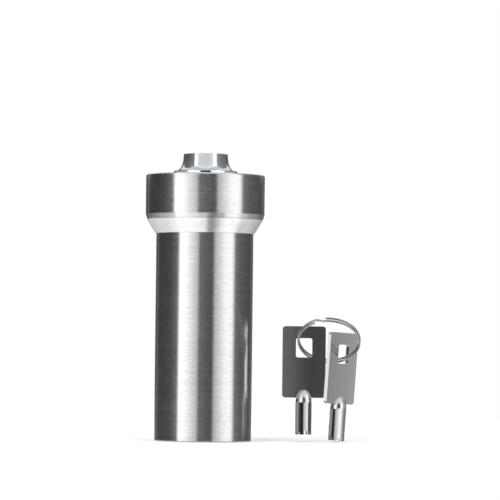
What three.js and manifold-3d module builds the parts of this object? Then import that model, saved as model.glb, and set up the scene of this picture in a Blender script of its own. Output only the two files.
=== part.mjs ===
// Locking steel container with a keyed cap, and its two tubular keys on a split ring.
// Millimetres, +Z up. The origin is the centre of the container's flat base.
// The front of the object looks along -Y, and the keys stand to its right, on +X.

import * as THREE from 'three';
import { mergeVertices } from 'three/addons/utils/BufferGeometryUtils.js';
import Module from 'manifold-3d';

const wasm = await Module();
wasm.setup();

// Clearances and cutters
const fitGap = 0.3; // between two pieces that meet or slide
const pinGap = 0.12; // round a lock pin in its bore
const stackGap = 0.2; // between the pieces stacked in a bore
const seatGap = 0.05; // under the cap, which rests on the collar
const overrun = 1; // how far a cutter passes the face that it cuts

// Container wall and floor
const tubeDiameter = 29.8;
const tubeWall = 0.9;
const tubeHeight = 63.5;
const tubeFootEdge = 0.4;
const floorThickness = 1.5;

// Collar: a spigot in the tube and a cone under the cap, with a seat for the neck sleeve
const coneFootReach = 0.25; // past the tube's outside
const coneTopInset = 0.45; // inside the cap's outside
const coneHeight = 4.4;
const spigotDepth = 5.5;
const spigotWall = 1;

// Neck sleeve inside the cap
const neckWall = 1;
const neckHeight = 10.7; // above the cone
const neckEdge = 0.3;
const neckSeatDepth = 1; // in the collar

// Keeper ring, under whose lip the cam bar locks
const keeperRise = 3.1; // from the cone's top to the ledge that carries the ring
const keeperLedgeWidth = 0.9;
const keeperThickness = 1.2;
const keeperLap = 1.8; // of the lip over the end of the cam bar
const notchPlayDegrees = 8; // turn of the bar that the notches leave free
const notchEndGap = 0.7; // past the bar's ends

// Index pin, which keeps the cap from turning with the key
const indexPinDiameter = 1.6;
const indexPinRise = 1.4;
const indexPinDepth = 1.3; // in the neck's wall
const indexPinReach = 1.3; // out of the neck's wall

// Cap
const lidDiameter = 36.5;
const lidHeight = 13.55;
const lidWall = 1.5;
const lidTopThickness = 2;
const lidTopEdgeRadius = 0.7;
const lidFootTaperReach = 0.45;
const lidFootTaperHeight = 1.5;
const linerWall = 1.55;
const gasketThickness = 0.6;
const gasketLap = 0.6; // how far the gasket reaches inside the neck

// Lock bezel: a foot ring, a concave bell and a flat face
const bezelFlangeDiameter = 19.5;
const bezelFlangeEdge = 1.2;
const bezelWaistDiameter = 15.6;
const bezelWaistRise = 2.1;
const bezelFlareRise = 5; // where the bell becomes straight
const bezelTopDiameter = 13.4;
const bezelHeight = 6.5;
const bezelTopEdgeRadius = 0.4;

// Lock housing, its nut and washer
const housingNoseDiameter = 8.8;
const housingFaceRecess = 0.4; // below the bezel's face
const housingHeadDiameter = 11.8;
const housingHeadHeight = 2;
const housingBodyDiameter = 9.6;
const housingFlats = 8.6; // across the two flats of the body
const housingTail = 0.8; // past the driver sleeve
const washerDiameter = 15.2;
const washerThickness = 0.5;
const nutAcrossFlats = 14;
const nutThickness = 2.5;

// Key hole in the housing
const keyHoleDiameter = 5.3;
const keyHoleDepth = 5.5;
const lugGrooveDepth = 0.65;
const lugGrooveDrop = 1.4; // below the housing's face
const lugGrooveHeight = 1.4;
const lugSlotWidth = 1.1;

// Spindle, which the key turns
const postDiameter = 3.2;
const postRecess = 0.3; // below the housing's face
const postSlotWidth = 0.9;
const postSlotDepth = 0.5;
const plugDiameter = 6.2;
const plugHeight = 3.05;
const shaftDiameter = 2.6;
const shaftFlats = 1.9;
const studDiameter = 2;
const studTail = 0.3; // past the cam nut

// Lock pins: seven in a circle, each in two parts that meet at the shear line
const pinCount = 7;
const pinDiameter = 0.8;
const pinCircleDiameter = 4.7;
const keyCuts = [0.5, 1.1, 0.8, 1.4, 0.6, 1.25, 0.95]; // depth of the key's cut at each pin
const driverPinLength = 2;
const pinSpringLength = 2.4;
const pinSpringBore = 0.4;
const sleeveFloor = 1.4;
const sleevePinDiameter = 0.7;
const sleevePinDepth = 0.7; // in the driver sleeve

// Cam bar, its washer and nut
const camWasherDiameter = 8;
const camWasherThickness = 0.6;
const camSideGap = 1.4; // from the bar's end to the collar's bore
const camBarWidth = 6;
const camBarThickness = 1.6;
const camNutAcrossFlats = 4.4;
const camNutThickness = 1.6;

// Keys: a flat plate in the slot of a domed tube
const keyLength = 33.3;
const bowWidth = 13.3;
const bowHeight = 22;
const bowThickness = 1.2;
const bowCornerRadius = 0.9;
const ringHoleWidth = 5;
const ringHoleHeight = 5.9;
const ringHoleDrop = 3.7; // below the plate's top
const ringHoleCornerRadius = 0.5;
const tongueWidth = 3;
const tongueLength = 3.1;
const barrelDiameter = 5;
const barrelWall = 0.55;
const barrelStraight = 10.2;
const barrelTipEdge = 0.12;
const domeHeight = 3.7;
const domeStep = 0.08;
const barrelBoreDepth = 6.5;
const outerLugReach = 0.5;
const outerLugWidth = 0.8;
const outerLugHeight = 1;
const outerLugRise = 3.6; // above the tip
const innerLugReach = 0.55;
const innerLugWidth = 0.6;
const innerLugHeight = 2.4;

// Split ring: two turns of wire, with one short crossing from one to the other
const ringRadius = 9.4;
const ringWireDiameter = 0.64;
const ringPitch = 1.08;
const ringCrossingDegrees = 20;
const ringCrossingPlaceDegrees = 118; // on the ring, from its right-hand side, upwards

// Where the keys and the ring stand beside the container
const keyOneAside = 30.9; // from the container's axis
const keyOneBehind = 3;
const keyTwoFloorGap = 0.4;
const ringTiltDegrees = 48; // the ring's top leans to the front
const ringRollDegrees = 8; // its right-hand side hangs lower
const ringYawDegrees = 5;
const keyOnePlaceDegrees = 220; // on the ring, as above
const keyTwoPlaceDegrees = 307;
const keyTwoTurnDegrees = 49; // its left edge faces the front
const keyTwoLeanDegrees = 3.5;
const keyOneWireAside = -0.5; // of the wire from the middle of the ring hole
const keyOneWireBelow = 0.7;
const keyTwoWireAside = 0.4;
const keyTwoWireBelow = 1.6;

// Facets of a full turn, by the size of the piece
const wideFacets = 60;
const middleFacets = 40;
const smallFacets = 24;
const pinFacets = 10;
const arcSteps = 4;
const flareSteps = 6;
const domeSteps = 5;
const wireSides = 6;
const wireStepsPerTurn = 24;

// Heights of the container and the cap, from the base up
const coneTop = tubeHeight + coneHeight;
const neckTop = coneTop + neckHeight;
const keeperLedge = coneTop + keeperRise;
const keeperTop = keeperLedge + keeperThickness;
const lidFoot = coneTop + seatGap;
const lidTop = lidFoot + lidHeight;
const lidUnderside = lidTop - lidTopThickness;

// Heights of the lock, from its face down
const housingFace = lidTop + bezelHeight - housingFaceRecess;
const housingShoulder = housingFace - keyHoleDepth;
const plugTop = housingShoulder - fitGap;
const shearLine = plugTop - plugHeight;
const sleeveTop = shearLine - fitGap;
const boreDepth = driverPinLength + pinSpringLength + 2 * stackGap;
const sleeveBottom = sleeveTop - boreDepth - sleeveFloor;
const housingBottom = sleeveBottom - housingTail;
const camWasherTop = housingBottom - fitGap;
const camBarTop = camWasherTop - camWasherThickness;
const camBarBottom = camBarTop - camBarThickness;
const camNutBottom = camBarBottom - camNutThickness;

// Radii that several pieces share
const tubeBore = tubeDiameter / 2 - tubeWall;
const lidBore = lidDiameter / 2 - lidWall;
const neckRadius = lidBore - linerWall - 2 * fitGap;
const neckBore = neckRadius - neckWall;
const ledgeBore = neckBore - keeperLedgeWidth;
const spigotRadius = tubeBore - fitGap;
const spigotBore = spigotRadius - spigotWall;
const plugBore = plugDiameter / 2 + fitGap;
const pinBoreRadius = pinDiameter / 2 + pinGap;
const camReach = ledgeBore - camSideGap;

// Finishes
const brushedSteel = { color: 0xb9bbbd, roughness: 0.32, metalness: 1 };
const chrome = { color: 0xd9dde2, roughness: 0.08, metalness: 1 };
const plainSteel = { color: 0x9a9c9e, roughness: 0.4, metalness: 1 };
const brass = { color: 0xb8924a, roughness: 0.35, metalness: 1 };
const darkPlastic = { color: 0x3b3d40, roughness: 0.6, metalness: 0 };
const sealRubber = { color: 0x8d9196, roughness: 0.8, metalness: 0 };

const part = new THREE.Group();

// Turns a closed three.js geometry into a solid that can be cut and joined.
function toSolid(geometry) {
  const bare = geometry.index ? geometry.toNonIndexed() : geometry.clone();
  bare.deleteAttribute('normal');
  bare.deleteAttribute('uv');
  const merged = mergeVertices(bare);
  const position = merged.attributes.position;
  const corners = [0, 1, 2].map(() => new THREE.Vector3());
  const faces = [];
  let volume = 0;
  for (let start = 0; start < merged.index.count; start += 3) {
    const face = [0, 1, 2].map((step) => merged.index.getX(start + step));
    if (new Set(face).size === 3) {
      corners.forEach((corner, step) => corner.fromBufferAttribute(position, face[step]));
      volume += corners[0].dot(corners[1].clone().cross(corners[2]));
      faces.push(face);
    }
  }
  const outward = volume > 0 ? faces : faces.map(([a, b, c]) => [a, c, b]);
  return new wasm.Manifold(new wasm.Mesh({
    numProp: 3,
    vertProperties: new Float32Array(position.array),
    triVerts: new Uint32Array(outward.flat()),
  }));
}

// Turns a solid back into a geometry.
function toGeometry(solid) {
  const mesh = solid.getMesh();
  const geometry = new THREE.BufferGeometry();
  geometry.setAttribute('position', new THREE.BufferAttribute(mesh.vertProperties, 3));
  geometry.setIndex(new THREE.BufferAttribute(mesh.triVerts, 1));
  geometry.computeVertexNormals();
  return geometry;
}

// Adds one named piece with a finish of its own.
function addPiece(name, solid, finish, parent = part) {
  const mesh = new THREE.Mesh(toGeometry(solid), new THREE.MeshStandardMaterial(finish));
  mesh.name = name;
  parent.add(mesh);
}

// A solid turned about Z from a profile of [radius, height] points.
function turned(profile, facets) {
  const onAxis = profile[0][0] === 0 && profile.at(-1)[0] === 0;
  const closed = onAxis ? profile : [...profile, profile[0]];
  const points = closed.map(([radius, height]) => new THREE.Vector2(radius, height));
  return toSolid(new THREE.LatheGeometry(points, facets).rotateX(Math.PI / 2));
}

// A plain disc or rod about Z.
function rod(radius, bottom, top, facets) {
  return turned([[0, bottom], [radius, bottom], [radius, top], [0, top]], facets);
}

// A plain ring about Z.
function ring(inner, outer, bottom, top, facets) {
  return turned([[inner, bottom], [outer, bottom], [outer, top], [inner, top]], facets);
}

// A box from its lowest to its highest corner.
function block(low, high) {
  const size = high.map((value, axis) => value - low[axis]);
  const middle = high.map((value, axis) => (value + low[axis]) / 2);
  return toSolid(new THREE.BoxGeometry(...size).translate(...middle));
}

// A six-sided prism about Z.
function hexagon(acrossFlats, bottom, top) {
  return rod(acrossFlats / Math.sqrt(3), bottom, top, 6);
}

// A rod along X, between two distances from the Z axis.
function crossRod(radius, from, to, height, facets) {
  const geometry = new THREE.CylinderGeometry(radius, radius, to - from, facets);
  geometry.rotateZ(Math.PI / 2).translate((from + to) / 2, 0, height);
  return toSolid(geometry);
}

// Points of an arc in a profile, from one angle to another.
function arc(middleRadius, middleHeight, size, fromDegrees, toDegrees) {
  return Array.from({ length: arcSteps + 1 }, (_, step) => {
    const degrees = fromDegrees + (toDegrees - fromDegrees) * step / arcSteps;
    const angle = THREE.MathUtils.degToRad(degrees);
    return [middleRadius + size * Math.cos(angle), middleHeight + size * Math.sin(angle)];
  });
}

// Points of one lock pin's place, by its number from 0.
function pinPlace(number) {
  const angle = 2 * Math.PI * (number + 0.5) / pinCount;
  return [pinCircleDiameter / 2 * Math.cos(angle), pinCircleDiameter / 2 * Math.sin(angle)];
}

// Seven equal rods at the pins' places.
function pinBores(bottom, top) {
  const bores = Array.from({ length: pinCount }, (_, number) => (
    rod(pinBoreRadius, bottom, top, pinFacets).translate([...pinPlace(number), 0])));
  return bores.reduce((all, bore) => all.add(bore));
}

function addContainer() {
  const radius = tubeDiameter / 2;
  const tube = turned([
    [tubeBore, 0],
    [radius - tubeFootEdge, 0],
    [radius, tubeFootEdge],
    [radius, tubeHeight],
    [tubeBore, tubeHeight],
  ], wideFacets);
  addPiece('body_tube', tube, brushedSteel);
  addPiece('base_disc', rod(tubeBore - fitGap, 0, floorThickness, wideFacets), plainSteel);
}

function addCollar() {
  const seat = coneTop - neckSeatDepth;
  const collar = turned([
    [spigotBore, tubeHeight - spigotDepth],
    [spigotRadius, tubeHeight - spigotDepth],
    [spigotRadius, tubeHeight],
    [tubeDiameter / 2 + coneFootReach, tubeHeight],
    [lidDiameter / 2 - coneTopInset, coneTop],
    [neckRadius + fitGap, coneTop],
    [neckRadius + fitGap, seat],
    [ledgeBore, seat],
    [spigotBore, tubeHeight],
  ], wideFacets);
  addPiece('neck_collar', collar, brushedSteel);

  const sleeve = turned([
    [ledgeBore, seat],
    [neckRadius, seat],
    [neckRadius, neckTop - neckEdge],
    [neckRadius - neckEdge, neckTop],
    [neckBore + neckEdge, neckTop],
    [neckBore, neckTop - neckEdge],
    [neckBore, keeperLedge],
    [ledgeBore, keeperLedge],
  ], wideFacets);
  const pinHeight = coneTop + indexPinRise;
  const pinFoot = neckRadius - indexPinDepth;
  const pinHole = crossRod(indexPinDiameter / 2 + pinGap, pinFoot - pinGap,
    neckRadius + overrun, pinHeight, smallFacets);
  addPiece('neck_sleeve', sleeve.subtract(pinHole.rotate([0, 0, 90])), brushedSteel);
  const pin = crossRod(indexPinDiameter / 2, pinFoot, neckRadius + indexPinReach, pinHeight, smallFacets);
  addPiece('index_pin', pin.rotate([0, 0, 90]), plainSteel);
}

// The notches leave the bar's corners free while it turns by notchPlayDegrees.
function addKeeperRing() {
  const cornerAngle = Math.asin(camBarWidth / 2 / camReach) + THREE.MathUtils.degToRad(notchPlayDegrees);
  const halfWidth = camReach * Math.sin(cornerAngle) + fitGap;
  const plain = ring(camReach - keeperLap, neckBore - fitGap, keeperLedge, keeperTop, wideFacets);
  const reach = rod(camReach + notchEndGap, keeperLedge - overrun, keeperTop + overrun, wideFacets);
  const strip = block(
    [-camReach - overrun, -halfWidth, keeperLedge - overrun],
    [camReach + overrun, halfWidth, keeperTop + overrun]);
  addPiece('keeper_ring', plain.subtract(reach.intersect(strip)), plainSteel);
}

function addLid() {
  const radius = lidDiameter / 2;
  const shell = turned([
    [lidBore, lidFoot],
    [radius - lidFootTaperReach, lidFoot],
    [radius, lidFoot + lidFootTaperHeight],
    ...arc(radius - lidTopEdgeRadius, lidTop - lidTopEdgeRadius, lidTopEdgeRadius, 0, 90),
    [0, lidTop],
    [0, lidUnderside],
    [lidBore, lidUnderside],
  ].reverse(), wideFacets);
  const hole = flattedRod(housingBodyDiameter / 2 + fitGap, housingFlats / 2 + fitGap,
    lidUnderside - overrun, lidTop + overrun, middleFacets);
  addPiece('lid_shell', shell.subtract(hole), brushedSteel);

  const linerFoot = lidFoot + fitGap;
  const liner = ring(neckRadius + fitGap, lidBore - fitGap, linerFoot, lidUnderside - fitGap, wideFacets);
  const slotHalf = indexPinDiameter / 2 + fitGap;
  const slot = block(
    [-slotHalf, 0, linerFoot - overrun],
    [slotHalf, lidBore + overrun, coneTop + indexPinRise + slotHalf]);
  addPiece('lid_liner', liner.subtract(slot), darkPlastic);
  const gasket = ring(neckBore - gasketLap, neckRadius, lidUnderside - gasketThickness, lidUnderside,
    wideFacets);
  addPiece('lid_gasket', gasket, sealRubber);
}

// A rod about Z with two flats across Y.
function flattedRod(radius, halfFlats, bottom, top, facets) {
  const band = block([-radius - overrun, -halfFlats, bottom], [radius + overrun, halfFlats, top]);
  return rod(radius, bottom, top, facets).intersect(band);
}

function addBezel() {
  const waist = bezelWaistDiameter / 2;
  const top = bezelTopDiameter / 2;
  const flare = new THREE.QuadraticBezierCurve(
    new THREE.Vector2(waist, lidTop + bezelWaistRise),
    new THREE.Vector2(top, lidTop + (bezelWaistRise + bezelFlareRise) / 2),
    new THREE.Vector2(top, lidTop + bezelFlareRise));
  const bore = housingNoseDiameter / 2 + fitGap;
  const counterBore = housingHeadDiameter / 2 + fitGap;
  const step = lidTop + housingHeadHeight + fitGap;
  const face = lidTop + bezelHeight;
  const bezel = turned([
    [counterBore, lidTop],
    [bezelFlangeDiameter / 2, lidTop],
    [bezelFlangeDiameter / 2, lidTop + bezelFlangeEdge],
    ...flare.getPoints(flareSteps).map((point) => [point.x, point.y]),
    ...arc(top - bezelTopEdgeRadius, face - bezelTopEdgeRadius, bezelTopEdgeRadius, 0, 90),
    [bore, face],
    [bore, step],
    [counterBore, step],
  ], middleFacets);
  addPiece('lock_bezel', bezel, chrome);
}

function addHousing() {
  const nose = housingNoseDiameter / 2;
  const head = housingHeadDiameter / 2;
  const headTop = lidTop + housingHeadHeight;
  const keyHole = keyHoleDiameter / 2;
  const outside = turned([
    [0, lidTop],
    [head, lidTop],
    [head, headTop],
    [nose, headTop],
    [nose, housingFace],
    [0, housingFace],
  ], middleFacets);
  const body = flattedRod(housingBodyDiameter / 2, housingFlats / 2, housingBottom, lidTop, middleFacets);
  const grooveTop = housingFace - lugGrooveDrop;
  const grooveBottom = grooveTop - lugGrooveHeight;
  const inside = turned([
    [0, housingBottom - overrun],
    [plugBore, housingBottom - overrun],
    [plugBore, housingShoulder],
    [keyHole, housingShoulder],
    [keyHole, grooveBottom],
    [keyHole + lugGrooveDepth, grooveBottom],
    [keyHole + lugGrooveDepth, grooveTop],
    [keyHole, grooveTop],
    [keyHole, housingFace + overrun],
    [0, housingFace + overrun],
  ], middleFacets);
  const lugSlot = block(
    [-lugSlotWidth / 2, 0, grooveBottom],
    [lugSlotWidth / 2, keyHole + lugGrooveDepth, housingFace + overrun]);
  const pinHole = crossRod(sleevePinDiameter / 2 + pinGap, plugBore - overrun,
    housingBodyDiameter / 2 + overrun, sleeveBottom + sleeveFloor / 2, pinFacets);
  const housing = outside.add(body).subtract(inside).subtract(lugSlot).subtract(pinHole);
  addPiece('lock_housing', housing, chrome);

  const bore = housingBodyDiameter / 2 + fitGap;
  const washerBottom = lidUnderside - washerThickness;
  const nutBottom = washerBottom - nutThickness;
  const washer = ring(bore, washerDiameter / 2, washerBottom, lidUnderside, middleFacets);
  addPiece('lock_washer', washer, plainSteel);
  const nutBore = rod(bore, nutBottom - overrun, washerBottom + overrun, middleFacets);
  addPiece('lock_nut', hexagon(nutAcrossFlats, nutBottom, washerBottom).subtract(nutBore), brass);
}

function addDriverPack() {
  const sleeve = ring(shaftDiameter / 2 + fitGap, plugDiameter / 2, sleeveBottom, sleeveTop, middleFacets);
  const boreFloor = sleeveTop - boreDepth;
  const pinHeight = sleeveBottom + sleeveFloor / 2;
  const pinFoot = plugDiameter / 2 - sleevePinDepth;
  const pinHole = crossRod(sleevePinDiameter / 2 + pinGap, pinFoot - pinGap, plugDiameter / 2 + overrun,
    pinHeight, pinFacets);
  const cut = sleeve.subtract(pinBores(boreFloor, sleeveTop + overrun)).subtract(pinHole);
  addPiece('driver_sleeve', cut, brass);
  const pinEnd = housingFlats / 2;
  addPiece('sleeve_pin', crossRod(sleevePinDiameter / 2, pinFoot, pinEnd, pinHeight, pinFacets), plainSteel);

  const springBottom = boreFloor + stackGap / 2;
  const springTop = springBottom + pinSpringLength;
  const driverBottom = springTop + stackGap;
  for (let number = 0; number < pinCount; number += 1) {
    const place = [...pinPlace(number), 0];
    const driver = rod(pinDiameter / 2, driverBottom, driverBottom + driverPinLength, pinFacets);
    addPiece(`driver_pin_${number + 1}`, driver.translate(place), brass);
    const spring = ring(pinSpringBore / 2, pinDiameter / 2, springBottom, springTop, pinFacets);
    addPiece(`pin_spring_${number + 1}`, spring.translate(place), plainSteel);
  }
}

function addSpindle() {
  const post = postDiameter / 2;
  const shaft = shaftDiameter / 2;
  const stud = studDiameter / 2;
  const turnedSpindle = turned([
    [0, camNutBottom - studTail],
    [stud, camNutBottom - studTail],
    [stud, camBarBottom],
    [shaft, camBarBottom],
    [shaft, shearLine],
    [plugDiameter / 2, shearLine],
    [plugDiameter / 2, plugTop],
    [post, plugTop],
    [post, housingFace - postRecess],
    [0, housingFace - postRecess],
  ], middleFacets);
  const slot = block(
    [-postSlotWidth / 2, post - postSlotDepth, plugTop],
    [postSlotWidth / 2, post + overrun, housingFace]);
  const flats = [-1, 1].map((side) => block(
    [-shaft - overrun, Math.min(side * shaftFlats / 2, side * (shaft + overrun)), camBarBottom],
    [shaft + overrun, Math.max(side * shaftFlats / 2, side * (shaft + overrun)), camBarTop]));
  const spindle = turnedSpindle
    .subtract(pinBores(shearLine - overrun, plugTop + overrun))
    .subtract(slot)
    .subtract(flats[0])
    .subtract(flats[1]);
  addPiece('lock_spindle', spindle, brass);

  keyCuts.forEach((cut, number) => {
    const pin = rod(pinDiameter / 2, shearLine, plugTop - cut, pinFacets);
    addPiece(`key_pin_${number + 1}`, pin.translate([...pinPlace(number), 0]), brass);
  });
}

function addCam() {
  const bore = shaftDiameter / 2 + fitGap;
  const washer = ring(bore, camWasherDiameter / 2, camBarTop, camWasherTop, smallFacets);
  addPiece('cam_washer', washer, plainSteel);

  const barStrip = block(
    [-camReach - overrun, -camBarWidth / 2, camBarBottom],
    [camReach + overrun, camBarWidth / 2, camBarTop]);
  const hole = flattedRod(bore, shaftFlats / 2 + fitGap, camBarBottom - overrun, camBarTop + overrun,
    smallFacets);
  const bar = rod(camReach, camBarBottom, camBarTop, wideFacets).intersect(barStrip).subtract(hole);
  addPiece('cam_bar', bar, plainSteel);

  const nutBore = rod(studDiameter / 2 + fitGap, camNutBottom - overrun, camBarBottom + overrun, smallFacets);
  const nut = hexagon(camNutAcrossFlats, camNutBottom, camBarBottom).subtract(nutBore);
  addPiece('cam_nut', nut, brass);
}

// A rectangle with round corners in the XZ plane, as thick as given, centred on y = 0.
function roundedPlate(left, right, bottom, top, corner, thickness) {
  const outline = new THREE.Shape();
  outline.moveTo(left + corner, bottom);
  outline.lineTo(right - corner, bottom);
  outline.absarc(right - corner, bottom + corner, corner, -Math.PI / 2, 0);
  outline.lineTo(right, top - corner);
  outline.absarc(right - corner, top - corner, corner, 0, Math.PI / 2);
  outline.lineTo(left + corner, top);
  outline.absarc(left + corner, top - corner, corner, Math.PI / 2, Math.PI);
  outline.lineTo(left, bottom + corner);
  outline.absarc(left + corner, bottom + corner, corner, Math.PI, 3 * Math.PI / 2);
  const settings = { depth: thickness, bevelEnabled: false, curveSegments: arcSteps };
  const geometry = new THREE.ExtrudeGeometry(outline, settings);
  return toSolid(geometry.rotateX(Math.PI / 2).translate(0, thickness / 2, 0));
}

// A key's own frame: the origin is the middle of the barrel's tip, the plate lies across Y.
function keyBow() {
  const shoulder = keyLength - bowHeight;
  const plate = roundedPlate(-bowWidth / 2, bowWidth / 2, shoulder, keyLength, bowCornerRadius,
    bowThickness);
  const holeTop = keyLength - ringHoleDrop;
  const hole = roundedPlate(-ringHoleWidth / 2, ringHoleWidth / 2, holeTop - ringHoleHeight, holeTop,
    ringHoleCornerRadius, bowThickness + 2 * overrun);
  const tongue = block(
    [-tongueWidth / 2, -bowThickness / 2, shoulder - tongueLength],
    [tongueWidth / 2, bowThickness / 2, shoulder + overrun]);
  return plate.add(tongue).subtract(hole);
}

function keyBarrel() {
  const radius = barrelDiameter / 2;
  const bore = radius - barrelWall;
  const shoulder = keyLength - bowHeight;
  const domeRadius = radius - domeStep;
  const dome = Array.from({ length: domeSteps + 1 }, (_, step) => {
    const angle = Math.PI / 2 * step / domeSteps;
    const out = step === domeSteps ? 0 : domeRadius * Math.cos(angle);
    return [out, barrelStraight + domeHeight * Math.sin(angle)];
  });
  const outside = turned([
    [0, 0],
    [radius - barrelTipEdge, 0],
    [radius, barrelTipEdge],
    [radius, barrelStraight],
    ...dome,
  ], smallFacets);
  const halfSlot = bowThickness / 2 + fitGap;
  const slotFloor = shoulder - fitGap;
  const slot = block([-radius - overrun, -halfSlot, slotFloor],
    [radius + overrun, halfSlot, barrelStraight + domeHeight + overrun]);
  const pocket = block([-tongueWidth / 2 - fitGap, -halfSlot, shoulder - tongueLength - fitGap],
    [tongueWidth / 2 + fitGap, halfSlot, shoulder]);
  const outerLug = block([-outerLugWidth / 2, bore, outerLugRise],
    [outerLugWidth / 2, radius + outerLugReach, outerLugRise + outerLugHeight]);
  const innerLug = block([-innerLugWidth / 2, bore - innerLugReach, 0],
    [innerLugWidth / 2, bore + barrelWall / 2, innerLugHeight]);
  let barrel = outside
    .subtract(rod(bore, -overrun, barrelBoreDepth, smallFacets))
    .subtract(slot)
    .subtract(pocket)
    .add(outerLug)
    .add(innerLug);
  keyCuts.forEach((cut, number) => {
    const [x, y] = pinPlace(number);
    const notch = rod(pinBoreRadius, -overrun, cut, pinFacets).translate([x, y, 0]);
    barrel = barrel.subtract(notch);
  });
  return barrel;
}

// The wire runs once round, crosses over, and runs once round beside itself.
class SplitRingCurve extends THREE.Curve {
  getPoint(share, target = new THREE.Vector3()) {
    const half = ringCrossingDegrees / 2;
    const degrees = half + share * (720 - ringCrossingDegrees);
    const across = THREE.MathUtils.smoothstep(degrees, 360 - half, 360 + half);
    const angle = THREE.MathUtils.degToRad(degrees + ringCrossingPlaceDegrees);
    return target.set(
      ringRadius * Math.cos(angle),
      ringPitch * (across - 0.5),
      ringRadius * Math.sin(angle));
  }
}

// Least free distance between stretches of the wire that lie more than half a turn apart.
function ringSelfGap(curve) {
  const steps = 4 * wireStepsPerTurn;
  const points = curve.getPoints(2 * steps);
  let least = Infinity;
  points.forEach((first, from) => {
    points.slice(from + steps / 2).forEach((second) => {
      least = Math.min(least, first.distanceTo(second));
    });
  });
  return least - ringWireDiameter;
}

function splitRing(curve) {
  const section = new THREE.Shape(Array.from({ length: wireSides }, (_, side) => {
    const angle = 2 * Math.PI * side / wireSides;
    return new THREE.Vector2(Math.cos(angle), Math.sin(angle)).multiplyScalar(ringWireDiameter / 2);
  }));
  return toSolid(new THREE.ExtrudeGeometry(section, {
    steps: 2 * wireStepsPerTurn,
    extrudePath: curve,
    bevelEnabled: false,
  }));
}

// Turns of the ring and of each key, as three.js Euler angles.
function turnOf(x, y, z, order) {
  return new THREE.Euler(...[x, y, z].map(THREE.MathUtils.degToRad), order);
}

// The middle of the wire at a place on the ring, from the ring's middle.
function placeOnRing(ringTurn, degrees) {
  const angle = THREE.MathUtils.degToRad(degrees);
  return new THREE.Vector3(Math.cos(angle), 0, Math.sin(angle))
    .multiplyScalar(ringRadius)
    .applyEuler(ringTurn);
}

// Where a key's tip lies, from the ring's middle: the wire passes its ring hole at the given place.
function tipFromRing(ringTurn, keyTurn, placeDegrees, wireAside, wireBelow) {
  const holeHeight = keyLength - ringHoleDrop - ringHoleHeight / 2;
  const wireInKey = new THREE.Vector3(wireAside, 0, holeHeight - wireBelow).applyEuler(keyTurn);
  return placeOnRing(ringTurn, placeDegrees).sub(wireInKey);
}

function addKeys() {
  const ringTurn = turnOf(ringTiltDegrees, ringRollDegrees, ringYawDegrees, 'ZYX');
  const turnOne = turnOf(0, 0, 0, 'YZX');
  const turnTwo = turnOf(0, keyTwoLeanDegrees, keyTwoTurnDegrees, 'YZX');
  const tipOne = tipFromRing(ringTurn, turnOne, keyOnePlaceDegrees, keyOneWireAside,
    keyOneWireBelow);
  const tipTwo = tipFromRing(ringTurn, turnTwo, keyTwoPlaceDegrees, keyTwoWireAside,
    keyTwoWireBelow);
  const ringMiddle = new THREE.Vector3(
    keyOneAside - tipOne.x,
    keyOneBehind - tipOne.y,
    keyTwoFloorGap - tipTwo.z);

  const curve = new SplitRingCurve();
  console.log('free gap between the turns of the split ring, mm:', ringSelfGap(curve).toFixed(3));
  const ringGroup = new THREE.Group();
  ringGroup.position.copy(ringMiddle);
  ringGroup.rotation.copy(ringTurn);
  addPiece('split_ring', splitRing(curve), plainSteel, ringGroup);
  part.add(ringGroup);

  [[tipOne, turnOne], [tipTwo, turnTwo]].forEach(([tip, turn], number) => {
    const keyGroup = new THREE.Group();
    keyGroup.position.copy(ringMiddle).add(tip);
    keyGroup.rotation.copy(turn);
    addPiece(`key_${number + 1}_bow`, keyBow(), chrome, keyGroup);
    addPiece(`key_${number + 1}_barrel`, keyBarrel(), chrome, keyGroup);
    part.add(keyGroup);
  });
}

addContainer();
addCollar();
addKeeperRing();
addLid();
addBezel();
addHousing();
addDriverPack();
addSpindle();
addCam();
addKeys();

export default part;
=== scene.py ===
"""Looks of a locking steel container and of its two tubular keys on a split ring.

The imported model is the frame. Each sub-assembly is a class that takes its places from the frame,
builds finer meshes round it and dresses them. Lengths are metres, angles are degrees.
"""

import logging
import math
from collections.abc import Iterable, Sequence
from dataclasses import dataclass
from enum import Enum

import bmesh
import bpy
from mathutils import Matrix, Vector


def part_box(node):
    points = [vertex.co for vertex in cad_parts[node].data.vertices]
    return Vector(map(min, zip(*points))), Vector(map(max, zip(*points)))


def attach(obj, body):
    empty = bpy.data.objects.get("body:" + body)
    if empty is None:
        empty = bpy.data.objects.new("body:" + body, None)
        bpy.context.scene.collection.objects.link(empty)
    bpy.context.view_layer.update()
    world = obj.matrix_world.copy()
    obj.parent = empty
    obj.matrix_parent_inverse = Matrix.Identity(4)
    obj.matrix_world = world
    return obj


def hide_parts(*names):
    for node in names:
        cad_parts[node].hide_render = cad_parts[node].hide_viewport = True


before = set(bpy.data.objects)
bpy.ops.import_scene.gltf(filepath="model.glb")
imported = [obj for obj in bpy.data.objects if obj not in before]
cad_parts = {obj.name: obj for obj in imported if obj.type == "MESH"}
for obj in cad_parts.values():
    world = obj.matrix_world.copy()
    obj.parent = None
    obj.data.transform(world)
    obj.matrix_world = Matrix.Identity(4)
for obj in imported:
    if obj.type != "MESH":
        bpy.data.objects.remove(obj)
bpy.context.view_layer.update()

log = logging.getLogger("locking_container")

MM = 0.001
WELD = 0.001 * MM
SHARP_EDGE = math.radians(34)
EDGE_STEPS = 3
MOST_OF_SIDE = 0.49
WIRE_END_SIZE = 0.55
NOISE_LOW = 0.3
NOISE_HIGH = 0.7
CUT_MASK = "cut_through_plating"
GRAZING = 0.8
FULL_TURN = 360.0
FRONT = 0.5
WHITE = (1.0, 1.0, 1.0)
DAYLIGHT = (0.985, 1.0, 1.015)

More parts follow.
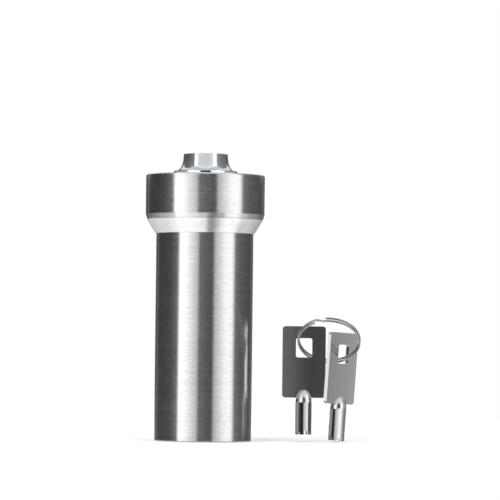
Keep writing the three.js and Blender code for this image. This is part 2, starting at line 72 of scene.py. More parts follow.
KEY_1_TIP = Vector((30.9, 3.0, 2.1974)) * MM
KEY_2_TIP = Vector((41.0623, 4.8805, 0.4)) * MM
KEY_2_LEAN = 3.5
KEY_2_YAW = 49.0
RING_MIDDLE = Vector((38.4555, -0.8026, 31.149)) * MM
RING_TILT = 48.0
RING_ROLL = 8.0
RING_YAW = 5.0

Point2 = tuple[float, float]
Corner = tuple[float, ...]
Colour = tuple[float, float, float]
Stops = Sequence[tuple[float, float]]
Piece = bpy.types.Object
Node = bpy.types.Node
Socket = bpy.types.NodeSocket


class Slot(Enum):
    """Material slots of the record."""

    BRUSHED = "brushed_steel"
    CHROME = "chrome"
    PLAIN = "plain_steel"
    RING = "ring_steel"
    BRASS = "lock_brass"
    LINER = "liner_plastic"
    SEAL = "seal_rubber"


class Body(Enum):
    """Moving bodies that a piece can ride on."""

    CONTAINER = "container"
    CAP = "cap"
    SPINDLE = "spindle"
    KEY_RING = "key_ring"
    KEY_1 = "key_1"
    KEY_2 = "key_2"


Dressing = tuple[bpy.types.Material, Slot]


# Mesh making


def softened(corners: Sequence[Corner], closed: bool = True, steps: int = 5) -> list[Point2]:
    """Rounds the corners of an outline.

    Args:
        corners: across, up and, where the corner is rounded, the size of its rounding.
        closed: whether the last corner joins the first.
        steps: straight pieces in each rounded corner.

    Returns:
        The points of the rounded outline.
    """
    places = [Vector(corner[:2]) for corner in corners]
    points: list[Point2] = []
    for index, (here, corner) in enumerate(zip(places, corners)):
        at_end = not closed and index in (0, len(corners) - 1)
        if len(corner) < 3 or at_end:
            points.append((here.x, here.y))
            continue
        sides = (places[index - 1] - here, places[(index + 1) % len(places)] - here)
        start, end = (here + side.normalized() * min(corner[2], side.length * MOST_OF_SIDE)
                      for side in sides)
        for step in range(steps + 1):
            share = step / steps
            point = start.lerp(here, share).lerp(here.lerp(end, share), share)
            points.append((point.x, point.y))
    return points


def smoothed(points: Sequence[Point2], steps: int) -> list[Point2]:
    """Runs a Catmull-Rom curve through points.

    Args:
        points: the points, in order.
        steps: short spans between two points.

    Returns:
        The points of the curve, ends included.
    """
    held = [Vector(point) for point in points]
    held = [2 * held[0] - held[1], *held, 2 * held[-1] - held[-2]]
    made = []
    for before, first, second, after in zip(held, held[1:], held[2:], held[3:]):
        for step in range(steps):
            share = step / steps
            made.append(0.5 * (2 * first + (second - before) * share
                               + (2 * before - 5 * first + 4 * second - after) * share ** 2
                               + (3 * first - before - 3 * second + after) * share ** 3))
    made.append(held[-2])
    return [(point.x, point.y) for point in made]


def circle(count: int) -> list[Point2]:
    """Works out the cosine and sine of equal steps round a full turn."""
    angles = [2 * math.pi * step / count for step in range(count)]
    return [(math.cos(angle), math.sin(angle)) for angle in angles]


def linked(name: str, data: bpy.types.ID) -> Piece:
    """Makes an object and links it into the scene.

    Args:
        name: of the object.
        data: its mesh, lamp or camera.

    Returns:
        The object.
    """
    made = bpy.data.objects.new(name, data)
    bpy.context.scene.collection.objects.link(made)
    return made


def object_from(name: str, bm: bmesh.types.BMesh) -> Piece:
    """Makes a scene object of a bmesh, with its faces pointing out, and frees the bmesh.

    Args:
        name: the piece's name.
        bm: the finished bmesh.

    Returns:
        The new object, linked into the scene.
    """
    bmesh.ops.recalc_face_normals(bm, faces=bm.faces)
    mesh = bpy.data.meshes.new(name)
    bm.to_mesh(mesh)
    bm.free()
    return linked(name, mesh)


def bridge(bm: bmesh.types.BMesh, first: list, second: list) -> None:
    """Joins two rings of vertices with faces.

    Args:
        bm: the bmesh that holds them.
        first: one ring; a ring of one vertex closes to a point.
        second: the other ring.
    """
    count = max(len(first), len(second))
    for index in range(count):
        after = (index + 1) % count
        if len(first) == 1:
            face = (first[0], second[index], second[after])
        elif len(second) == 1:
            face = (first[index], second[0], first[after])
        else:
            face = (first[index], second[index], second[after], first[after])
        bm.faces.new(face)


def turned(name: str, outline: Sequence[Point2], facets: int, closed: bool = True) -> Piece:
    """Turns an outline about Z.

    Args:
        name: the piece's name.
        outline: points of radius and height; it closes on itself, or starts and ends on the axis.
        facets: flat faces in a full turn.
        closed: whether an outline off the axis closes on itself.

    Returns:
        The turned piece.
    """
    bm = bmesh.new()
    around = circle(facets)
    rings = []
    for radius, height in outline:
        steps = [(0, 0)] if radius < WELD else around
        rings.append([bm.verts.new((radius * x, radius * y, height)) for x, y in steps])
    on_axis = len(rings[0]) == 1
    following = rings[1:] + rings[:1] if closed and not on_axis else rings[1:]
    for first, second in zip(rings, following):
        bridge(bm, first, second)
    return object_from(name, bm)


def prism(name: str, outline: Sequence[Point2], low: float, high: float) -> Piece:
    """Extrudes an outline in X and Z along Y.

    Args:
        name: the piece's name.
        outline: points of X and Z.
        low: Y of one end.
        high: Y of the other end.

    Returns:
        The extruded piece.
    """
    bm = bmesh.new()
    ends = [[bm.verts.new((x, y, z)) for x, z in outline] for y in (low, high)]
    bridge(bm, *ends)
    for end in ends:
        bm.faces.new(end)
    return object_from(name, bm)


def block(name: str, low: Sequence[float], high: Sequence[float]) -> Piece:
    """Makes a box between two corners."""
    outline = [(low[0], low[2]), (high[0], low[2]), (high[0], high[2]), (low[0], high[2])]
    return prism(name, outline, low[1], high[1])


def rod(name: str, radius: float, bottom: float, top: float, facets: int = 32) -> Piece:
    """Makes a plain rod about Z."""
    return turned(name, [(0, bottom), (radius, bottom), (radius, top), (0, top)], facets)


def swept(name: str, path: Sequence[Vector], radius: float, sides: int) -> Piece:
    """Sweeps a round section along an open path, with slightly rounded ends.

    Args:
        name: the piece's name.
        path: points of the centreline.
        radius: of the section.
        sides: of the section.

    Returns:
        The swept piece.
    """
    bm = bmesh.new()
    rings = []
    normal = Vector((0, 0, 1)).cross(path[1] - path[0])
    if normal.length < WELD * WELD:
        normal = Vector((1, 0, 0))
    last = len(path) - 1
    for index, point in enumerate(path):
        ahead = (path[min(index + 1, last)] - path[max(index - 1, 0)]).normalized()
        normal = (normal - ahead * normal.dot(ahead)).normalized()
        side = ahead.cross(normal)
        size = radius * (WIRE_END_SIZE if index in (0, last) else 1)
        rings.append([bm.verts.new(point + (normal * x + side * y) * size) for x, y in circle(sides)])
    for first, second in zip(rings, rings[1:]):
        bridge(bm, first, second)
    for end in (rings[0], rings[-1]):
        bm.faces.new(end)
    return object_from(name, bm)


def settle(piece: Piece) -> Piece:
    """Applies a piece's modifiers to its mesh.

    Args:
        piece: the object.

    Returns:
        The same object.
    """
    depsgraph = bpy.context.evaluated_depsgraph_get()
    mesh = bpy.data.meshes.new_from_object(piece.evaluated_get(depsgraph), depsgraph=depsgraph)
    old = piece.data
    piece.modifiers.clear()
    piece.data = mesh
    bpy.data.meshes.remove(old)
    mesh.name = piece.name
    return piece


def carve(piece: Piece, tools: Iterable[Piece], join: bool = False) -> Piece:
    """Cuts tools out of a piece and removes them.

    Args:
        piece: the object.
        tools: the objects to cut with.
        join: whether they are joined to the piece instead.

    Returns:
        The same object.
    """
    for tool in tools:
        modifier = piece.modifiers.new("carve", "BOOLEAN")
        modifier.operation = "UNION" if join else "DIFFERENCE"
        modifier.solver = "EXACT"
        modifier.object = tool
        settle(piece)
        bpy.data.objects.remove(tool)
    return piece


def finish_edges(piece: Piece, width: float = 0.0) -> Piece:
    """Merges doubled points, rounds sharp edges and shades the piece smoothly.

    Args:
        piece: the object.
        width: of the rounding; none if 0.

    Returns:
        The same object.
    """
    weld = piece.modifiers.new("weld", "WELD")
    weld.merge_threshold = WELD
    if width:
        bevel = piece.modifiers.new("round", "BEVEL")
        bevel.width = width
        bevel.segments = EDGE_STEPS
        bevel.limit_method = "ANGLE"
        bevel.angle_limit = SHARP_EDGE
        bevel.use_clamp_overlap = True
    settle(piece)
    piece.data.shade_smooth()
    piece.data.set_sharp_from_angle(angle=SHARP_EDGE)
    weighted = piece.modifiers.new("flat faces stay flat", "WEIGHTED_NORMAL")
    weighted.keep_sharp = True
    return settle(piece)


def turn_of(*turns: tuple[str, float]) -> Matrix:
    """Multiplies turns into one matrix.

    Args:
        turns: the axis and the degrees of each turn, the outermost turn first.

    Returns:
        The 3 by 3 matrix.
    """
    made = Matrix.Identity(3)
    for axis, degrees in turns:
        made = made @ Matrix.Rotation(math.radians(degrees), 3, axis)
    return made


# Shader nodes


def new_material(name: str) -> bpy.types.Material:
    """Makes a material that uses nodes.

    Args:
        name: of the material.

    Returns:
        The material.
    """
    made = bpy.data.materials.new(name)
    made.use_nodes = True
    return made


class Shader:
    """Short calls for making and linking the nodes of one tree."""

    def __init__(self, tree: bpy.types.NodeTree) -> None:
        """Keeps the tree that the nodes go into."""
        self.tree = tree

    def node(self, kind: str, **settings: object) -> Node:
        """Makes a node.

        Args:
            kind: Blender's name for the kind of node.
            settings: properties of the node.

        Returns:
            The node.
        """
        made = self.tree.nodes.new(kind)
        for name, value in settings.items():
            setattr(made, name, value)
        return made

    def feed(self, target: Socket, value: object) -> None:
        """Links or sets an input.

        Args:
            target: the input.
            value: the output to link, or the constant to set.
        """
        if isinstance(value, Socket):
            self.tree.links.new(value, target)
        else:
            target.default_value = value

    def wired(self, kind: str, given: dict[int | str, object], output: int | str = 0,
              **settings: object) -> Socket:
        """Makes a node and feeds its inputs.

        Args:
            kind: Blender's name for the kind of node.
            given: what feeds the inputs, by their names or numbers.
            output: name or number of the output that is wanted.
            settings: properties of the node.

        Returns:
            The output.
        """
        made = self.node(kind, **settings)
        for key, value in given.items():
            self.feed(made.inputs[key], value)
        return made.outputs[output]

    def place(self) -> Socket:
        """Gives the point on the surface, in the object's own frame."""
        return self.node("ShaderNodeTexCoord").outputs["Object"]

    def split(self, vector: Socket) -> Sequence[Socket]:
        """Splits a vector.

        Args:
            vector: the vector.

        Returns:
            Its three parts.
        """
        made = self.node("ShaderNodeSeparateXYZ")
        self.feed(made.inputs[0], vector)
        return made.outputs

    def joined(self, *parts: Socket) -> Socket:
        """Joins three parts into a vector."""
        return self.wired("ShaderNodeCombineXYZ", dict(enumerate(parts)))

    def math(self, operation: str, first: object, second: object = 0.0) -> Socket:
        """Works out a number from one or two others."""
        return self.wired("ShaderNodeMath", {0: first, 1: second}, operation=operation)

    def weighted(self, first: object, second: object, share: float) -> Socket:
        """Adds two numbers, the second with a share and the first with the rest of it."""
        rest = self.math("MULTIPLY", first, 1 - share)
        return self.math("ADD", rest, self.math("MULTIPLY", second, share))

    def between(self, value: object, low: object, high: object, to_low: object = 0.0,
                to_high: object = 1.0, smooth: bool = False) -> Socket:
        """Maps a value from one range to another, clamped.

        Args:
            value: the value.
            low: start of its range.
            high: end of its range.
            to_low: result at the start.
            to_high: result at the end.
            smooth: whether the result eases in and out.

        Returns:
            The result.
        """
        given = {"Value": value, "From Min": low, "From Max": high, "To Min": to_low, "To Max": to_high}
        return self.wired("ShaderNodeMapRange", given, "Result",
                          interpolation_type="SMOOTHSTEP" if smooth else "LINEAR")

    def scaled(self, vector: object, by: object) -> Socket:
        """Multiplies a vector by another, part by part."""
        return self.wired("ShaderNodeVectorMath", {0: vector, 1: by}, operation="MULTIPLY")

    def length(self, vector: object) -> Socket:
        """Measures a vector."""
        return self.wired("ShaderNodeVectorMath", {0: vector}, "Value", operation="LENGTH")

    def noise(self, vector: object, scale: object, detail: float = 2.0, roughness: float = 0.5) -> Socket:
        """Makes a noise texture and returns its value."""
        given = {"Vector": vector, "Scale": scale, "Detail": detail, "Roughness": roughness}
        return self.wired("ShaderNodeTexNoise", given, "Fac")

    def mixed(self, share: object, first: Socket | Colour, second: Socket | Colour) -> Socket:
        """Mixes two colours by a share."""
        first, second = ((*given, 1) if isinstance(given, tuple) else given for given in (first, second))
        return self.wired("ShaderNodeMix", {0: share, 6: first, 7: second}, 2, data_type="RGBA")

    def mixed_shaders(self, share: Socket, first: Socket, second: Socket) -> Socket:
        """Mixes two shaders by a share."""
        return self.wired("ShaderNodeMixShader", {0: share, 1: first, 2: second})


class Effect(Shader):
    """A node group of number sockets, and short calls for filling it."""

    def __init__(self, name: str, inputs: dict[str, float], *outputs: str) -> None:
        """Makes the empty group.

        Args:
            name: of the group.
            inputs: names of the inputs with their first values.
            outputs: names of the outputs.
        """
        super().__init__(bpy.data.node_groups.new(name, "ShaderNodeTree"))
        for label, value in inputs.items():
            socket = self.tree.interface.new_socket(name=label, in_out="INPUT", socket_type="NodeSocketFloat")
            socket.default_value = value
        for label in outputs:
            self.tree.interface.new_socket(name=label, in_out="OUTPUT", socket_type="NodeSocketFloat")
        self.given = self.node("NodeGroupInput").outputs
        self.result = self.node("NodeGroupOutput").inputs


class Effects:
    """Node groups that several finishes share, each built once. Scales are per metre."""

    def __init__(self) -> None:
        """Builds the groups."""
        self.turning = self.turning_lines()
        self.hairlines = self.straight_lines()
        self.handling = self.handling_marks()
        self.wear = self.edge_wear()
        self.grain = self.moulded_grain()

    @staticmethod
    def turning_lines() -> bpy.types.NodeTree:
        """Builds fine rings about Z: along the height on a wall, along the radius on a flat end.

        Returns:
            The group.
        """
        made = Effect("turning_lines", {"Lines": 2600.0, "Arc": 30.0, "Dashes": 18.0}, "Line", "Band", "Dash")
        flat = (1, 1, 0)
        broader = (0.5, 0.5, 0.12)
        place = made.place()
        x, y, z = made.split(place)
        travel = made.math("ADD", z, made.length(made.scaled(place, flat)))
        along = [made.math("MULTIPLY", side, made.given["Arc"]) for side in (x, y)]
        across = made.math("MULTIPLY", travel, made.given["Lines"])
        rings = made.joined(*along, across)
        made.feed(made.result["Line"], made.noise(rings, 1.0, detail=3.0, roughness=0.62))
        made.feed(made.result["Band"], made.noise(made.scaled(rings, broader), 1.0))
        broken = [made.math("MULTIPLY", side, made.given["Dashes"]) for side in along]
        made.feed(made.result["Dash"], made.noise(made.joined(*broken, across), 1.0, roughness=0.6))
        return made.tree

    @staticmethod
    def straight_lines() -> bpy.types.NodeTree:
        """Builds fine straight lines along the height, as a linishing belt leaves them.

        Returns:
            The group.
        """
        made = Effect("hairlines", {"Across": 5000.0, "Along": 120.0}, "Line")
        parts = zip(made.split(made.place()), ("Across", "Across", "Along"))
        stretched = [made.math("MULTIPLY", part, made.given[label]) for part, label in parts]
        made.feed(made.result["Line"], made.noise(made.joined(*stretched), 1.0, detail=3.0, roughness=0.6))
        return made.tree

    @staticmethod
    def handling_marks() -> bpy.types.NodeTree:
        """Builds broad soft smudges, and small specks of dust.

        Returns:
            The group.
        """
        made = Effect("handling_marks", {"Size": 130.0}, "Smudge", "Speck")
        finer = 22.0
        place = made.place()
        broad = made.noise(place, made.given["Size"], detail=4.0, roughness=0.6)
        made.feed(made.result["Smudge"], made.between(broad, low=0.42, high=0.66, smooth=True))
        fine = made.noise(place, made.math("MULTIPLY", made.given["Size"], finer), detail=1.0)
        made.feed(made.result["Speck"], made.between(fine, low=0.74, high=0.8, smooth=True))
        return made.tree

    @staticmethod
    def edge_wear() -> bpy.types.NodeTree:
        """Builds outer edges, where a coating or a fine finish rubs bright, broken up by noise.

        Returns:
            The group.
        """
        made = Effect("edge_wear", {"Reach": 0.06}, "Edge")
        flat, barely_raised = 0.5, 0.51
        curve = made.node("ShaderNodeNewGeometry").outputs["Pointiness"]
        patches = made.noise(made.place(), 900.0, detail=3.0)
        broken = made.between(patches, NOISE_LOW, NOISE_HIGH, to_low=0.4)
        edge = made.between(curve, barely_raised, made.math("ADD", made.given["Reach"], flat))
        made.feed(made.result["Edge"], made.math("MULTIPLY", edge, broken))
        return made.tree

    @staticmethod
    def moulded_grain() -> bpy.types.NodeTree:
        """Builds the fine even texture of a moulded surface.

        Returns:
            The group.
        """
        made = Effect("moulded_grain", {"Scale": 3000.0}, "Grain")
        made.feed(made.result["Grain"], made.noise(made.place(), made.given["Scale"], roughness=0.55))
        return made.tree


class Surface(Shader):
    """Short calls for one material, which feed its Principled shader."""

    def __init__(self, material: bpy.types.Material, effects: Effects) -> None:
        """Keeps what the material's nodes are made with.

        Args:
            material: the material.
            effects: the shared groups.
        """
        super().__init__(material.node_tree)
        self.inputs = material.node_tree.nodes["Principled BSDF"].inputs
        self.effects = effects

    def give(self, values: dict[str, object]) -> None:
        """Feeds inputs of the Principled shader by their names."""
        for name, value in values.items():
            self.feed(self.inputs[name], value)

    def placed(self, group: bpy.types.NodeTree, **values: float) -> dict[str, Socket]:
        """Places a shared group.

        Args:
            group: the group.
            values: its inputs' own values in this material.

        Returns:
            The group's outputs by their names.
        """
        made = self.node("ShaderNodeGroup", node_tree=group)
        for name, value in values.items():
            made.inputs[name].default_value = value
        return dict(made.outputs.items())

    def relief(self, height: Socket, strength: float, depth: float) -> None:
        """Feeds a height to the surface's normal."""
        given = {"Strength": strength, "Distance": depth, "Height": height}
        self.give({"Normal": self.wired("ShaderNodeBump", given, "Normal")})


@dataclass(frozen=True)
class Finish:
    """Base of all finishes.

    Where the tone follows marks, it is dark up to tone_from and reaches full_tone, 1 being bright,
    at tone_to. The roughness rises from its least value by the spread where the surface is smudged
    or lined. Strength and depth are those of the relief.
    """

    name: str
    slot: Slot
    dark: Colour
    bright: Colour
    roughness: float
    spread: float
    strength: float
    depth: float
    smudge_size: float = 130.0
    wear_reach: float = 0.06
    tone_from: float = NOISE_LOW
    tone_to: float = NOISE_HIGH
    full_tone: float = 1.0
    metallic: float = 1.0

    def material(self, effects: Effects) -> bpy.types.Material:
        """Makes the material.

        Args:
            effects: the shared groups.

        Returns:
            The material.
        """
        made = new_material(self.name)
        surface = Surface(made, effects)
        surface.give({"Metallic": self.metallic})
        self.dress(surface)
        return made

    def dress(self, surface: Surface) -> None:
        """Feeds the Principled shader."""
        raise NotImplementedError

    def worn(self, surface: Surface, marks: Socket) -> Socket:
        """Tints marks from dark to bright, and rubbed edges bright.

        Args:
            surface: helper of the material.
            marks: a noise.

        Returns:
            The colour.
        """
        tone = surface.between(marks, self.tone_from, self.tone_to, to_high=self.full_tone)
        edge = surface.placed(surface.effects.wear, Reach=self.wear_reach)["Edge"]
        return surface.mixed(surface.math("MAXIMUM", tone, edge), self.dark, self.bright)

    def handled(self, surface: Surface) -> dict[str, Socket]:
        """Gives the smudges and the specks of dust."""
        return surface.placed(surface.effects.handling, Size=self.smudge_size)

    def rubbed(self, surface: Surface, smudge: Socket) -> Socket:
        """Works out a roughness that rises where the surface is smudged."""
        return surface.between(smudge, 0.0, 1.0, self.roughness, self.roughness + self.spread)


@dataclass(frozen=True)
class MarkedFinish(Finish):
    """Base of the finishes whose tone and relief follow one kind of mark."""

    def marks(self, surface: Surface) -> Socket:
        """Makes the marks."""
        raise NotImplementedError

    def dress(self, surface: Surface) -> None:
        """Feeds the Principled shader.

        Args:
            surface: helper of the material.
        """
        marks = self.marks(surface)
        surface.give({
            "Base Color": self.worn(surface, marks),
            "Roughness": self.rubbed(surface, self.handled(surface)["Smudge"])})
        surface.relief(marks, self.strength, self.depth)


@dataclass(frozen=True)
class TurnedSteel(Finish):
    """Stainless steel with fine turning rings, which stretch highlights across the rings."""

    name: str = "turned_stainless_steel"
    slot: Slot = Slot.BRUSHED
    dark: Colour = (0.64, 0.64, 0.635)
    bright: Colour = (0.78, 0.78, 0.775)
    roughness: float = 0.17
    spread: float = 0.06
    strength: float = 0.3
    depth: float = 0.004 * MM
    lines: float = 2600.0
    tone_from: float = 0.35
    tone_to: float = 0.65
    dash_share: float = 0.6
    band_share: float = 0.2
    smudge_share: float = 0.015
    anisotropy: float = 0.8
    quarter_turn: float = 0.25

    def dress(self, surface: Surface) -> None:
        """Feeds the Principled shader.

        Args:
            surface: helper of the material.
        """
        turning = surface.placed(surface.effects.turning, Lines=self.lines)
        brushed = surface.weighted(turning["Line"], turning["Dash"], self.dash_share)
        tone = surface.weighted(brushed, turning["Band"], self.band_share)
        rough = surface.between(brushed, NOISE_LOW, NOISE_HIGH, self.roughness, self.roughness + self.spread)
        smudge = surface.math("MULTIPLY", self.handled(surface)["Smudge"], self.smudge_share)
        tangent = surface.node("ShaderNodeTangent", direction_type="RADIAL", axis="Z")
        surface.give({
            "Base Color": self.worn(surface, tone),
            "Roughness": surface.math("ADD", rough, smudge),
            "Anisotropic": self.anisotropy,
            "Anisotropic Rotation": self.quarter_turn,
            "Tangent": tangent.outputs[0]})
        surface.relief(brushed, self.strength, self.depth)


@dataclass(frozen=True)
class BrightMetal(Finish):
    """Smooth bright metal, such as plating or hard wire, with faint smudges and hairlines."""

    name: str = "chrome_plating"
    slot: Slot = Slot.CHROME
    dark: Colour = (0.72, 0.74, 0.77)
    bright: Colour = (0.8, 0.82, 0.85)
    roughness: float = 0.05
    spread: float = 0.07
    strength: float = 0.35
    depth: float = 0.02 * MM
    smudge_size: float = 220.0
    core: Colour = (0.5, 0.39, 0.23)
    lines_across: float = 2600.0
    lines_along: float = 260.0
    speck_share: float = 0.25
    waves: float = 240.0

    def dress(self, surface: Surface) -> None:
        """Feeds the Principled shader; the metal under the plating shows where it is cut.

        Args:
            surface: helper of the material.
        """
        handling = self.handled(surface)
        hair = surface.placed(surface.effects.hairlines, Across=self.lines_across, Along=self.lines_along)
        plated = surface.mixed(hair["Line"], self.dark, self.bright)
        cut = surface.node("ShaderNodeAttribute", attribute_name=CUT_MASK).outputs["Fac"]
        specks = surface.math("MULTIPLY", handling["Speck"], self.speck_share)
        surface.give({
            "Base Color": surface.mixed(cut, plated, self.core),
            "Roughness": surface.math("ADD", self.rubbed(surface, handling["Smudge"]), specks)})
        surface.relief(surface.noise(surface.place(), self.waves, detail=1.0), self.strength, self.depth)


@dataclass(frozen=True)
class MachinedMetal(MarkedFinish):
    """Plainly machined metal with straight or turned tool marks and rubbed edges."""

    name: str = "machined_steel"
    slot: Slot = Slot.PLAIN
    dark: Colour = (0.47, 0.47, 0.48)
    bright: Colour = (0.64, 0.64, 0.65)
    roughness: float = 0.28
    spread: float = 0.12
    strength: float = 0.4
    depth: float = 0.008 * MM
    smudge_size: float = 300.0
    wear_reach: float = 0.05
    turned: bool = True

    def marks(self, surface: Surface) -> Socket:
        """Makes turned or straight tool marks."""
        group = surface.effects.turning if self.turned else surface.effects.hairlines
        return surface.placed(group)["Line"]


@dataclass(frozen=True)
class MouldedSoft(MarkedFinish):
    """Moulded plastic or rubber with a fine grain and lighter rubbed edges."""

    name: str = "moulded_liner"
    slot: Slot = Slot.LINER
    dark: Colour = (0.03, 0.031, 0.034)
    bright: Colour = (0.06, 0.062, 0.066)
    roughness: float = 0.48
    spread: float = 0.12
    strength: float = 0.5
    depth: float = 0.03 * MM
    smudge_size: float = 260.0
    wear_reach: float = 0.08
    full_tone: float = 0.6
    metallic: float = 0.0

    def marks(self, surface: Surface) -> Socket:
        """Makes the grain."""
        return surface.placed(surface.effects.grain)["Grain"]


class Workshop:
    """Holds the shared effects and one material for each finish, and dresses pieces."""

    def __init__(self) -> None:
        """Makes the effects and the materials."""
        self.effects = Effects()
        self.turned_steel = self.ready(TurnedSteel())
        self.chrome = self.ready(BrightMetal())
        self.key_plating = self.ready(BrightMetal(
            name="satin_key_plating", dark=(0.58, 0.56, 0.535), bright=(0.665, 0.64, 0.61), roughness=0.06))
        self.tube_plating = self.ready(BrightMetal(
            name="bright_tube_plating", dark=(0.66, 0.65, 0.635), bright=(0.75, 0.74, 0.725), roughness=0.04))
        self.ring_wire = self.ready(BrightMetal(
            name="bright_spring_wire", slot=Slot.RING, dark=(0.27, 0.272, 0.28), bright=(0.42, 0.425, 0.435),
            roughness=0.09, spread=0.06))
        self.plain_steel = self.ready(MachinedMetal())
        self.ground_steel = self.ready(MachinedMetal(name="ground_steel", turned=False, roughness=0.24))
        self.brass = self.ready(MachinedMetal(
            name="machined_brass", slot=Slot.BRASS, dark=(0.5, 0.34, 0.13), bright=(0.78, 0.58, 0.28),
            roughness=0.2))
        self.liner = self.ready(MouldedSoft())
        self.seal = self.ready(MouldedSoft(
            name="moulded_seal", slot=Slot.SEAL, dark=(0.2, 0.205, 0.21), bright=(0.32, 0.325, 0.33),
            roughness=0.68, depth=0.05 * MM))

    def ready(self, finish: Finish) -> Dressing:
        """Makes a finish's material and keeps its slot with it."""
        return finish.material(self.effects), finish.slot

    def dress(self, piece: Piece, finish: Dressing, body: Body, node: str) -> None:
        """Gives a piece its finish, its body and the node that it stands for.

        Args:
            piece: the finished mesh.
            finish: the material and its slot.
            body: the moving body that carries it.
            node: the node of the frame that the piece replaces.
        """
        material, slot = finish
        piece.data.materials.clear()
        piece.data.materials.append(material)
        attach(piece, body.value)
        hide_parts(node)
        log.info("%s rides on %s, %d faces, stands for %s", piece.name, body.value,
                 len(piece.data.polygons), node)

    def dress_nodes(self, finish: Dressing, *nodes: str) -> None:
        """Gives nodes of the frame a better material.

        Args:
            finish: the material and its slot.
            nodes: the nodes, which keep their shapes.
        """
        for node in nodes:
            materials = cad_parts[node].data.materials
            materials.clear()
            materials.append(finish[0])
            log.info("%s keeps its shape and gets %s", node, finish[0].name)

    def refine(self, body: Body, *rows: tuple[str, Dressing, float]) -> None:
        """Makes pieces of nodes' own shapes, with their edges rounded.

        Args:
            body: the moving body that carries them.
            rows: each node with its finish and the size of its rounding.
        """
        for node, finish, rounding in rows:
            piece = linked(f"{node}_finished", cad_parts[node].data.copy())
            self.dress(finish_edges(piece, rounding), finish, body, node)


# Sub-assemblies


@dataclass
class Container:
    """The steel tube with its floor, its collar and what the lock bar catches on."""

    wall: float = 0.9 * MM
    foot_edge: float = 0.28 * MM
    bore_edge: float = 0.2 * MM
    rim_edge: float = 0.25 * MM
    seam_edge: float = 0.05 * MM
    seat_edge: float = 0.25 / 3 * MM
    neck_wall: float = 1.0 * MM
    neck_edge: float = 0.35 * MM
    spigot_bore: float = 25.4 * MM
    fit_gap: float = 0.3 * MM
    foot_inset: float = 0.25 * MM
    rim_width: float = 1.5 * MM
    weld_width: float = 0.5 * MM
    pin_gap: float = 0.02 * MM
    pin_edge: float = 0.1 * MM
    keeper_edge: float = 0.12 * MM
    facets: int = 180

    def tube(self) -> Piece:
        """Builds the tube with an eased foot and rim.

        Returns:
            The tube.
        """
        low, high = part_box("body_tube")
        outer, inner = high.x, high.x - self.wall
        return turned("container_tube", softened([
            (inner, low.z, self.bore_edge), (outer, low.z, self.foot_edge),
            (outer, high.z, self.seam_edge), (inner, high.z, self.rim_edge)]), self.facets)

    def floor(self) -> Piece:
        """Builds the floor: a slightly dished disc with a raised rim, as it is pressed and welded.

        Returns:
            The floor.
        """
        low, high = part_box("base_disc")
        rim = high.x - self.rim_width
        edge = self.weld_width / 2
        return turned("container_floor", softened([
            (0, low.z + self.foot_inset), (rim - self.weld_width, low.z + self.foot_inset, edge),
            (rim, low.z, edge), (high.x, low.z, edge), (high.x, high.z, edge),
            (0, high.z)], closed=False), self.facets)

    def collar(self) -> Piece:
        """Builds the turned collar: a spigot and a cone, with the seat of the neck.

        Returns:
            The collar.
        """
        low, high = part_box("neck_collar")
        neck_low, neck_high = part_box("neck_sleeve")
        tube_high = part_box("body_tube")[1]
        spigot = tube_high.x - self.wall - self.fit_gap
        bore = self.spigot_bore / 2
        seat = neck_high.x + self.fit_gap
        edge = self.rim_edge
        return turned("container_collar", softened([
            (bore, low.z, edge), (spigot, low.z, edge), (spigot, tube_high.z),
            (tube_high.x + self.foot_inset, tube_high.z, self.seam_edge), (high.x, high.z, edge / 2),
            (seat, high.z, self.seat_edge), (seat, neck_low.z), (bore, neck_low.z)]), self.facets)

    def neck(self) -> Piece:
        """Builds the neck sleeve with its ledge and the bore of the index pin.

        Returns:
            The sleeve.
        """
        low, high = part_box("neck_sleeve")
        bore = self.spigot_bore / 2
        mouth = high.x - self.neck_wall
        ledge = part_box("keeper_ring")[0].z
        edge = self.rim_edge
        made = turned("neck_sleeve_turned", softened([
            (bore, low.z), (high.x, low.z), (high.x, high.z, self.neck_edge),
            (mouth, high.z, self.neck_edge), (mouth, ledge, edge / 2), (bore, ledge, edge)]), self.facets)
        pin_low, pin_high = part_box("index_pin")
        drill = rod("index_pin_drill", (pin_high.z - pin_low.z) / 2 + self.pin_gap, 0, high.x)
        middle = Vector((0, pin_low.y, (pin_low.z + pin_high.z) / 2))
        drill.data.transform(Matrix.Translation(middle) @ turn_of(("X", -FULL_TURN / 4)).to_4x4())
        return carve(made, [drill])

    def build(self, workshop: Workshop) -> None:
        """Builds and dresses the container's pieces.

        Args:
            workshop: dresses them.
        """
        for make, node in ((self.tube, "body_tube"), (self.floor, "base_disc"),
                           (self.collar, "neck_collar"), (self.neck, "neck_sleeve")):
            workshop.dress(finish_edges(make()), workshop.turned_steel, Body.CONTAINER, node)
        workshop.refine(Body.CONTAINER, ("keeper_ring", workshop.plain_steel, self.keeper_edge),
                        ("index_pin", workshop.ground_steel, self.pin_edge))


